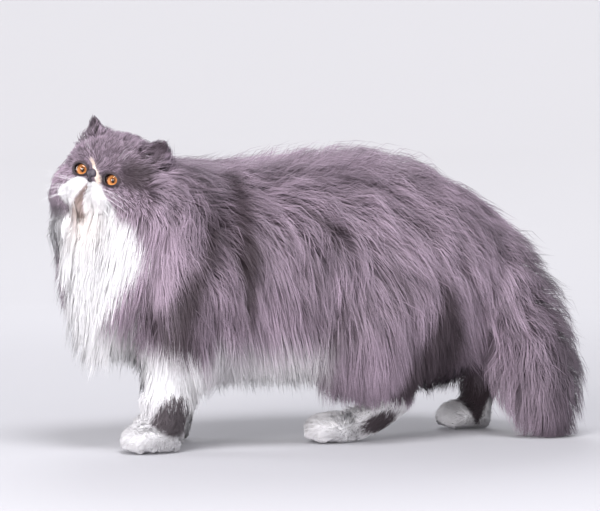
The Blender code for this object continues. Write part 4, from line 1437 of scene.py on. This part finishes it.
coat = growCoat()
coatThings = []
triangleSum = 0
for name, chosen in coatPieces(coat).items():
    thing, triangles = makeTufts(name, coat, np.flatnonzero(chosen))
    coatThings.append(thing)
    triangleSum += triangles
print("coat:", triangleSum, "triangles")


# Whiskers: where they leave the pads (left, up), how far they lean and how long they are
whiskerLook = {
    "padRows": [(.0125, -.0125, .10), (.0165, -.0150, .02), (.0125, -.0185, -.16), (.0175, -.0205, -.24),
                (.0130, -.0250, -.46), (.0180, -.0270, -.52), (.0220, -.0235, -.34)],
    "padLength": (.030, .052),
    "brow": [(.0165, .0205), (.0200, .0215)],
    "browLength": (.018, .030),
    "halfWidth": .00015,
    "least": (-.3070, -.1240, .002),
    "most": (.3070, .1240, .36),
}
# Light wisps across the mouth of each ear, in millimetres: along the ear, across it, length
earWisps = [(3, -10, 19), (5, -9, 21), (7, -9, 21), (9, -8, 20), (11, -8, 18), (4, -6, 18), (8, -6, 18),
            (12, -6, 16), (2, -3, 15), (6, -3, 16), (10, -2, 15), (14, -4, 14), (16, -2, 12)]


def growWhiskers():
    skinFaces = BVHTree.FromPolygons([v.co[:] for v in skin.data.vertices],
                                     [p.vertices[:] for p in skin.data.polygons])
    share = np.linspace(0, 1, tuftLook["steps"] + 1)[:, None]
    paths, pales = [], []

    def addHair(start, aim, way, bend, length, pale):
        hit = skinFaces.ray_cast(start, aim)
        if hit[0] is None:
            return
        root = np.array(hit[0]) - np.array(aim) * -.0004
        way, bend = unit(np.array(way)), np.array(bend)
        path = root + length * (way * share + bend * share ** 2)
        low, high = np.array(whiskerLook["least"]), np.array(whiskerLook["most"])
        while ((path < low) | (path > high)).any() and length > .012:
            length *= .93
            path = root + length * (way * share + bend * share ** 2)
        paths.append(path)
        pales.append(pale)

    for side in (1, -1):
        for left, up, lean in whiskerLook["padRows"]:
            for twin in range(2):
                spread = dice.normal(0, .10, 2)
                way = headLeft * side + headForward * (.55 + spread[0]) + headUp * (lean + spread[1])
                bend = -headForward * .30 - Vector((0, 0, .20))
                length = dice.uniform(*whiskerLook["padLength"])
                start = headPoint(.04, side * (left + .0012 * twin), up + .0010 * twin)
                addHair(start, -headForward, way, bend, length, 1.0)
        for left, up in whiskerLook["brow"]:
            for twin in range(2):
                spread = dice.normal(0, .12, 2)
                way = headUp + headForward * (.55 + spread[0]) + headLeft * side * (.35 + spread[1])
                length = dice.uniform(*whiskerLook["browLength"])
                start = headPoint(.04, side * (left + .0015 * twin), up)
                addHair(start, -headForward, way, headLeft * side * .25, length, .5)
        root, points, opens, across = earAxes(side)
        outer = across if across.dot(headLeft) * side > 0 else -across
        for along, wide, length in np.array(earWisps) / 1000:
            start = root + points * float(along) + outer * float(wide) + opens * .03
            way = outer + opens * .75 + points * (.25 + dice.normal(0, .12))
            bend = -opens * .45 - points * .35
            addHair(start, -opens, way, bend, length * dice.uniform(.85, 1.15), .6 if side > 0 else .3)
    paths = np.array(paths)
    count = len(paths)
    near = nearestIn(skinTree, paths[:, 0])
    uvs = np.zeros((count, 2))
    loops = {}
    for loop in skin.data.loops:
        loops.setdefault(loop.vertex_index, loop.index)
    layer = skin.data.uv_layers["OFBake"].data
    for place, index in enumerate(near):
        uvs[place] = layer[loops[int(index)]].uv
    return {"roots": paths[:, 0], "uvs": uvs, "owner": np.full(count, "muzzle"), "paths": paths,
            "overs": np.repeat(skinNormals[near][:, None], paths.shape[1], 1), "length": np.full(count, .08),
            "width": np.full(count, whiskerLook["halfWidth"]), "tone": np.full(count, .7),
            "fly": np.ones(count, bool), "start": near, "pale": np.array(pales)}


whiskerHair = growWhiskers()
whiskers, triangles = makeTufts("whiskers", whiskerHair, np.arange(len(whiskerHair["roots"])))
coatThings.append(whiskers)


# Eyes: a dark ball with a sunk iris, and a clear dome over it
eyeLook = {
    "gaze": (-.46, -.885, .03),
    "irisRadius": .0068,
    "irisSink": .0006,
    "ballIn": .0005,
    "domeRise": .0013,
    "domeAngle": math.radians(50),
    "segments": 64,
    "rings": 40,
}


def eyeBall(side, radius):
    # A ball with its pole along the gaze, and the gaze's own axes.
    ahead = Vector(eyeLook["gaze"]).normalized()
    over = (Vector((0, 0, 1)) - ahead * ahead.z).normalized()
    across = over.cross(ahead)
    middle = headPoint(-eyeShape["depth"], side * eyeShape["offset"], 0)
    turn = Matrix((across, over, ahead)).transposed().to_4x4()
    bm = bmesh.new()
    bmesh.ops.create_uvsphere(bm, u_segments=eyeLook["segments"], v_segments=eyeLook["rings"], radius=radius,
                              matrix=Matrix.Translation(middle) @ turn)
    return bm, middle, across, over, ahead


def makeEye(name, side):
    radius = eyeShape["radius"] - eyeLook["ballIn"]
    bm, middle, across, over, ahead = eyeBall(side, radius)
    reach = eyeLook["irisRadius"]
    plane = math.sqrt(radius ** 2 - reach ** 2)
    for vert in bm.verts:
        away = vert.co - middle
        wide, high, out = away.dot(across), away.dot(over), away.dot(ahead)
        spread = math.hypot(wide, high)
        if out > 0 and spread < reach:
            sunk = plane - eyeLook["irisSink"] * min(1, (reach - spread) / (reach * .12))
            vert.co += ahead * (sunk - out)
    eye = newObject(name, bm)
    away = readPoints(eye.data) - np.array(middle)
    # the back half reads as far outside the iris
    behind = (away @ np.array(ahead) < 0) * 3.0
    giveAttribute(eye.data, "irisAcross", away @ np.array(across) / reach + behind)
    giveAttribute(eye.data, "irisOver", away @ np.array(over) / reach)
    eye.data.shade_smooth()
    return eye


def makeCornea(name, side):
    bm, middle, *_, ahead = eyeBall(side, eyeShape["radius"])
    for vert in bm.verts:
        away = vert.co - middle
        angle = away.angle(ahead)
        if angle < eyeLook["domeAngle"]:
            bulge = (1 - (angle / eyeLook["domeAngle"]) ** 2) ** 2
            vert.co += away.normalized() * (eyeLook["domeRise"] * bulge)
    cornea = newObject(name, bm)
    cornea.data.shade_smooth()
    return cornea


# The nose leather: middle and radii in the head's own directions, its nostrils and its groove
noseLook = {
    "middle": (.0024, -.0016, -.0024),
    "radii": (.0047, .0055, .0073),
    "nostrils": [(.0029, -.0052, .0016, .0034), (.0043, -.0040, .0012, .0024)],
    "groove": (.0007, .0010),
}


def makeNose():
    bm = bmesh.new()
    middle, radii = noseLook["middle"], noseLook["radii"]
    addMass(bm, headPoint(*middle), radii, headAxes, cuts=5)
    dents = []
    for vert in bm.verts:
        away = vert.co - eyesMiddle
        f, l, u = away.dot(headForward), away.dot(headLeft) - middle[1], away.dot(headUp)
        # a blunt front, narrower below
        out = (f - middle[0]) / radii[0]
        f = middle[0] + radii[0] * out * (1.22 - .22 * out * out)
        low = min(1, max(0, (middle[2] - u) / radii[2]))
        l *= 1 - .45 * low * low
        dent = 0.0
        for left, up, size, deep in noseLook["nostrils"]:
            spread = math.hypot(abs(l) - left, u - up) / size
            dent = max(dent, deep * math.exp(-spread * spread))
        width, deep = noseLook["groove"]
        if u < middle[2] + .001:
            dent = max(dent, deep * math.exp(-(l / width) ** 2))
        vert.co = headPoint(f - dent, l + middle[1], u)
        dents.append(dent)
    nose = newObject("noseLeather", bm)
    # how deep each dent is, which the material paints darker as painted shade in the nostrils and the groove
    giveAttribute(nose.data, "dent", np.clip(np.array(dents) / .0018, 0, 1))
    nose.data.shade_smooth()
    return nose


# The dark wet rim of each lid
rimLook = {
    "out": .0006,
    "thick": .00055,
    "segments": 72,
}


def makeLidRim(name, side):
    bm = bmesh.new()
    rings = []
    radius = eyeShape["radius"] + rimLook["out"]
    for step in range(rimLook["segments"]):
        angle = math.tau * step / rimLook["segments"]
        wide, high = eyeShape["openWide"] * math.cos(angle), eyeShape["openHigh"] * math.sin(angle)
        out = math.sqrt(radius ** 2 - wide ** 2 - high ** 2) - eyeShape["depth"]
        middle = headPoint(out, side * eyeShape["offset"] + wide, high)
        along = (headLeft * -math.sin(angle) * eyeShape["openWide"]
                 + headUp * math.cos(angle) * eyeShape["openHigh"]).normalized()
        turn = along.to_track_quat("Z", "Y").to_matrix().to_4x4()
        circle = bmesh.ops.create_circle(bm, segments=10, radius=rimLook["thick"],
                                         matrix=Matrix.Translation(middle) @ turn)["verts"]
        rings.append(list({edge for vert in circle for edge in vert.link_edges}))
    for first, second in zip(rings, rings[1:] + rings[:1]):
        bmesh.ops.bridge_loops(bm, edges=first + second)
    bmesh.ops.recalc_face_normals(bm, faces=bm.faces[:])
    rim = newObject(name, bm)
    rim.data.shade_smooth()
    return rim


lidRims = [makeLidRim("lidRimLeft", 1), makeLidRim("lidRimRight", -1)]
eyes = {"eye_left": makeEye("eyeLeft", 1), "eye_right": makeEye("eyeRight", -1)}
corneas = [makeCornea("corneaLeft", 1), makeCornea("corneaRight", -1)]
noseLeather = makeNose()
print("whiskers, eyes and nose are made")


# Colours of the coat, darker at the roots and paler at the tips; the dark grey roots are partly painted
# shade for the depths of the coat, and the dark colour serves dark fur and painted shade alike
coatColours = {
    "greyRoot": (.058, .042, .054, 1),
    "greyTip": (.285, .222, .282, 1),
    "whiteRoot": (.64, .63, .655, 1),
    "whiteTip": (.63, .62, .645, 1),
    "dark": (.040, .028, .034, 1),
    "cream": (.60, .45, .36, 1),
}


def coatGroup():
    # Colour of skin or hair from its marking and painted shade, its place along the tuft and its tone, which
    # carries painted light.
    group = bpy.data.node_groups.new("coatColour", "ShaderNodeTree")
    for name in ("Pale", "Shade", "Cream", "Tip", "Tone"):
        group.interface.new_socket(name, in_out="INPUT", socket_type="NodeSocketFloat")
    group.interface.new_socket("Colour", in_out="OUTPUT", socket_type="NodeSocketColor")
    start, end = group.nodes.new("NodeGroupInput").outputs, group.nodes.new("NodeGroupOutput")
    grey = blended(group, start["Tip"], coatColours["greyRoot"], coatColours["greyTip"])
    white = blended(group, start["Tip"], coatColours["whiteRoot"], coatColours["whiteTip"])
    tones = addNode(group, "MapRange",
                    {"Value": start["Tone"], "From Max": 1.1, "To Min": .48, "To Max": 1.70})
    toned = addNode(group, "VectorMath", {0: grey, "Scale": tones.outputs["Result"]}, operation="SCALE")
    colour = blended(group, start["Shade"], toned.outputs["Vector"], coatColours["dark"])
    colour = blended(group, start["Pale"], colour, white)
    colour = blended(group, start["Cream"], colour, coatColours["cream"])
    group.links.new(colour, end.inputs["Colour"])
    return group


def coatMaterial(name, group, roughness, ofHair):
    look, tree, shader = newLook(name)
    mark = addNode(tree, "Group", {}, node_tree=group)
    for key in coatKeys:
        read = addNode(tree, "Attribute", {}, attribute_name=key).outputs["Fac"]
        setInputs(tree, mark, {key.capitalize(): read})
        if key == "pale":
            pale = read
    colour = mark.outputs["Colour"]
    setInputs(tree, shader, {"Base Color": colour, "Roughness": roughness, "Specular IOR Level": .20,
                             "Sheen Weight": .06, "Sheen Roughness": .45, "Sheen Tint": (.95, .90, 1.0, 1)})
    if ofHair:  # light comes through the thin hair
        through = addNode(tree, "BsdfTranslucent", {"Color": colour})
        share = addNode(tree, "MapRange", {"Value": pale, "To Min": .26, "To Max": .16})
        mix = addNode(tree, "MixShader", {0: share.outputs["Result"], 1: shader.outputs["BSDF"],
                                          2: through.outputs["BSDF"]})
        setInputs(tree, tree.nodes["Material Output"], {"Surface": mix.outputs["Shader"]})
    else:
        spot = addNode(tree, "TexCoord", {})
        grain = addNode(tree, "TexNoise", {"Vector": spot.outputs["Object"], "Scale": 900, "Detail": 3})
        bump = addNode(tree, "Bump", {"Height": grain.outputs["Fac"], "Strength": .5, "Distance": .0006})
        setInputs(tree, shader, {"Normal": bump.outputs["Normal"]})
    return look


irisColours = [(.0, (.13, .040, .012, 1)), (.32, (.20, .065, .018, 1)), (.50, (.46, .175, .050, 1)),
               (.72, (.60, .255, .085, 1)), (.86, (.30, .100, .032, 1)), (.97, (.020, .010, .008, 1))]


def eyeMaterial():
    # Iris coloured by the distance from its middle, with fine rays, an upright pupil and a dark edge.
    look, tree, shader = newLook("eyeBall")
    across = addNode(tree, "Attribute", {}, attribute_name="irisAcross").outputs["Fac"]
    over = addNode(tree, "Attribute", {}, attribute_name="irisOver").outputs["Fac"]
    flat = addNode(tree, "CombineXYZ", {"X": across, "Y": over}).outputs["Vector"]
    spread = addNode(tree, "VectorMath", {0: flat}, operation="LENGTH").outputs["Value"]
    heading = addNode(tree, "VectorMath", {0: flat}, operation="NORMALIZE").outputs["Vector"]
    rays = addNode(tree, "TexNoise", {"Vector": heading, "Scale": 9.0, "Detail": 4.0}).outputs["Fac"]
    ramp = addNode(tree, "ValToRGB", {"Fac": spread})
    for step, _ in irisColours[2:]:
        ramp.color_ramp.elements.new(step)
    for element, (step, colour) in zip(ramp.color_ramp.elements, irisColours):
        element.position = step
        element.color = colour
    shades = addNode(tree, "MapRange", {"Value": rays, "From Min": .30, "From Max": .70, "To Min": .62,
                                        "To Max": 1.30})
    # the upper part of the iris lies in the lid's shade
    height = addNode(tree, "MapRange", {"Value": over, "From Min": -.55, "From Max": .75, "To Min": 1.12,
                                        "To Max": .48})
    both = addNode(tree, "Math", {0: shades.outputs["Result"], 1: height.outputs["Result"]},
                   operation="MULTIPLY")
    toned = addNode(tree, "VectorMath", {0: ramp.outputs["Color"], "Scale": both.outputs["Value"]},
                    operation="SCALE")
    upright = addNode(tree, "VectorMath", {0: flat, 1: (5.0, 2.7, 1.0)}, operation="MULTIPLY")
    slit = addNode(tree, "VectorMath", {0: upright.outputs["Vector"]}, operation="LENGTH").outputs["Value"]
    pupil = addNode(tree, "MapRange", {"Value": slit, "From Min": .88, "From Max": 1.12},
                    interpolation_type="SMOOTHSTEP")
    final = blended(tree, pupil.outputs["Result"], (.004, .003, .003, 1), toned.outputs["Vector"])
    setInputs(tree, shader, {"Base Color": final, "Roughness": .6, "Specular IOR Level": .0})
    return look


def corneaMaterial():
    look, tree, shader = newLook("clearCornea")
    tree.nodes.remove(shader)
    clear = addNode(tree, "BsdfTransparent", {}).outputs["BSDF"]
    shine = addNode(tree, "BsdfGlossy", {"Roughness": .03}).outputs["BSDF"]
    edge = addNode(tree, "Fresnel", {"IOR": 1.42}).outputs["Fac"]
    mix = addNode(tree, "MixShader", {0: edge, 1: clear, 2: shine})
    setInputs(tree, tree.nodes["Material Output"], {"Surface": mix.outputs["Shader"]})
    return look


def noseMaterial():
    look, tree, shader = newLook("noseLeather")
    deep = addNode(tree, "Attribute", {}, attribute_name="dent").outputs["Fac"]
    # painted shade: the nostrils and the groove are darker the deeper they are
    colour = blended(tree, deep, (.036, .028, .040, 1), (.006, .004, .006, 1))
    spot = addNode(tree, "TexCoord", {}).outputs["Object"]
    pebbles = addNode(tree, "TexVoronoi", {"Vector": spot, "Scale": 1900}).outputs["Distance"]
    bump = addNode(tree, "Bump", {"Height": pebbles, "Strength": .35, "Distance": .0003}).outputs["Normal"]
    setInputs(tree, shader, {"Base Color": colour, "Roughness": .50, "Specular IOR Level": .35,
                             "Normal": bump})
    return look


def rimMaterial():
    look, tree, shader = newLook("lidRim")
    setInputs(tree, shader, {"Base Color": (.022, .016, .018, 1), "Roughness": .30})
    return look


markGroup = coatGroup()
hairMaterial = coatMaterial("coatHair", markGroup, .52, True)
skinMaterial = coatMaterial("coatSkin", markGroup, .80, False)
skin.data.materials.clear()
skin.data.materials.append(skinMaterial)
for thing in coatThings:
    thing.data.materials.append(hairMaterial)
    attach(thing, "root")
eyeLookMaterial, corneaLook, noseLookMaterial = eyeMaterial(), corneaMaterial(), noseMaterial()
for name, eye in eyes.items():
    eye.data.materials.append(eyeLookMaterial)
    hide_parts(name)
    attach(eye, "root")
for cornea in corneas:
    cornea.data.materials.append(corneaLook)
    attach(cornea, "root")
rimLookMaterial = rimMaterial()
for rim in lidRims:
    rim.data.materials.append(rimLookMaterial)
    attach(rim, "root")
noseLeather.data.materials.append(noseLookMaterial)
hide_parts("nose")
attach(noseLeather, "root")
flesh = [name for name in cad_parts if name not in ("eye_left", "eye_right", "nose")]
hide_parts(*flesh)
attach(skin, "root")
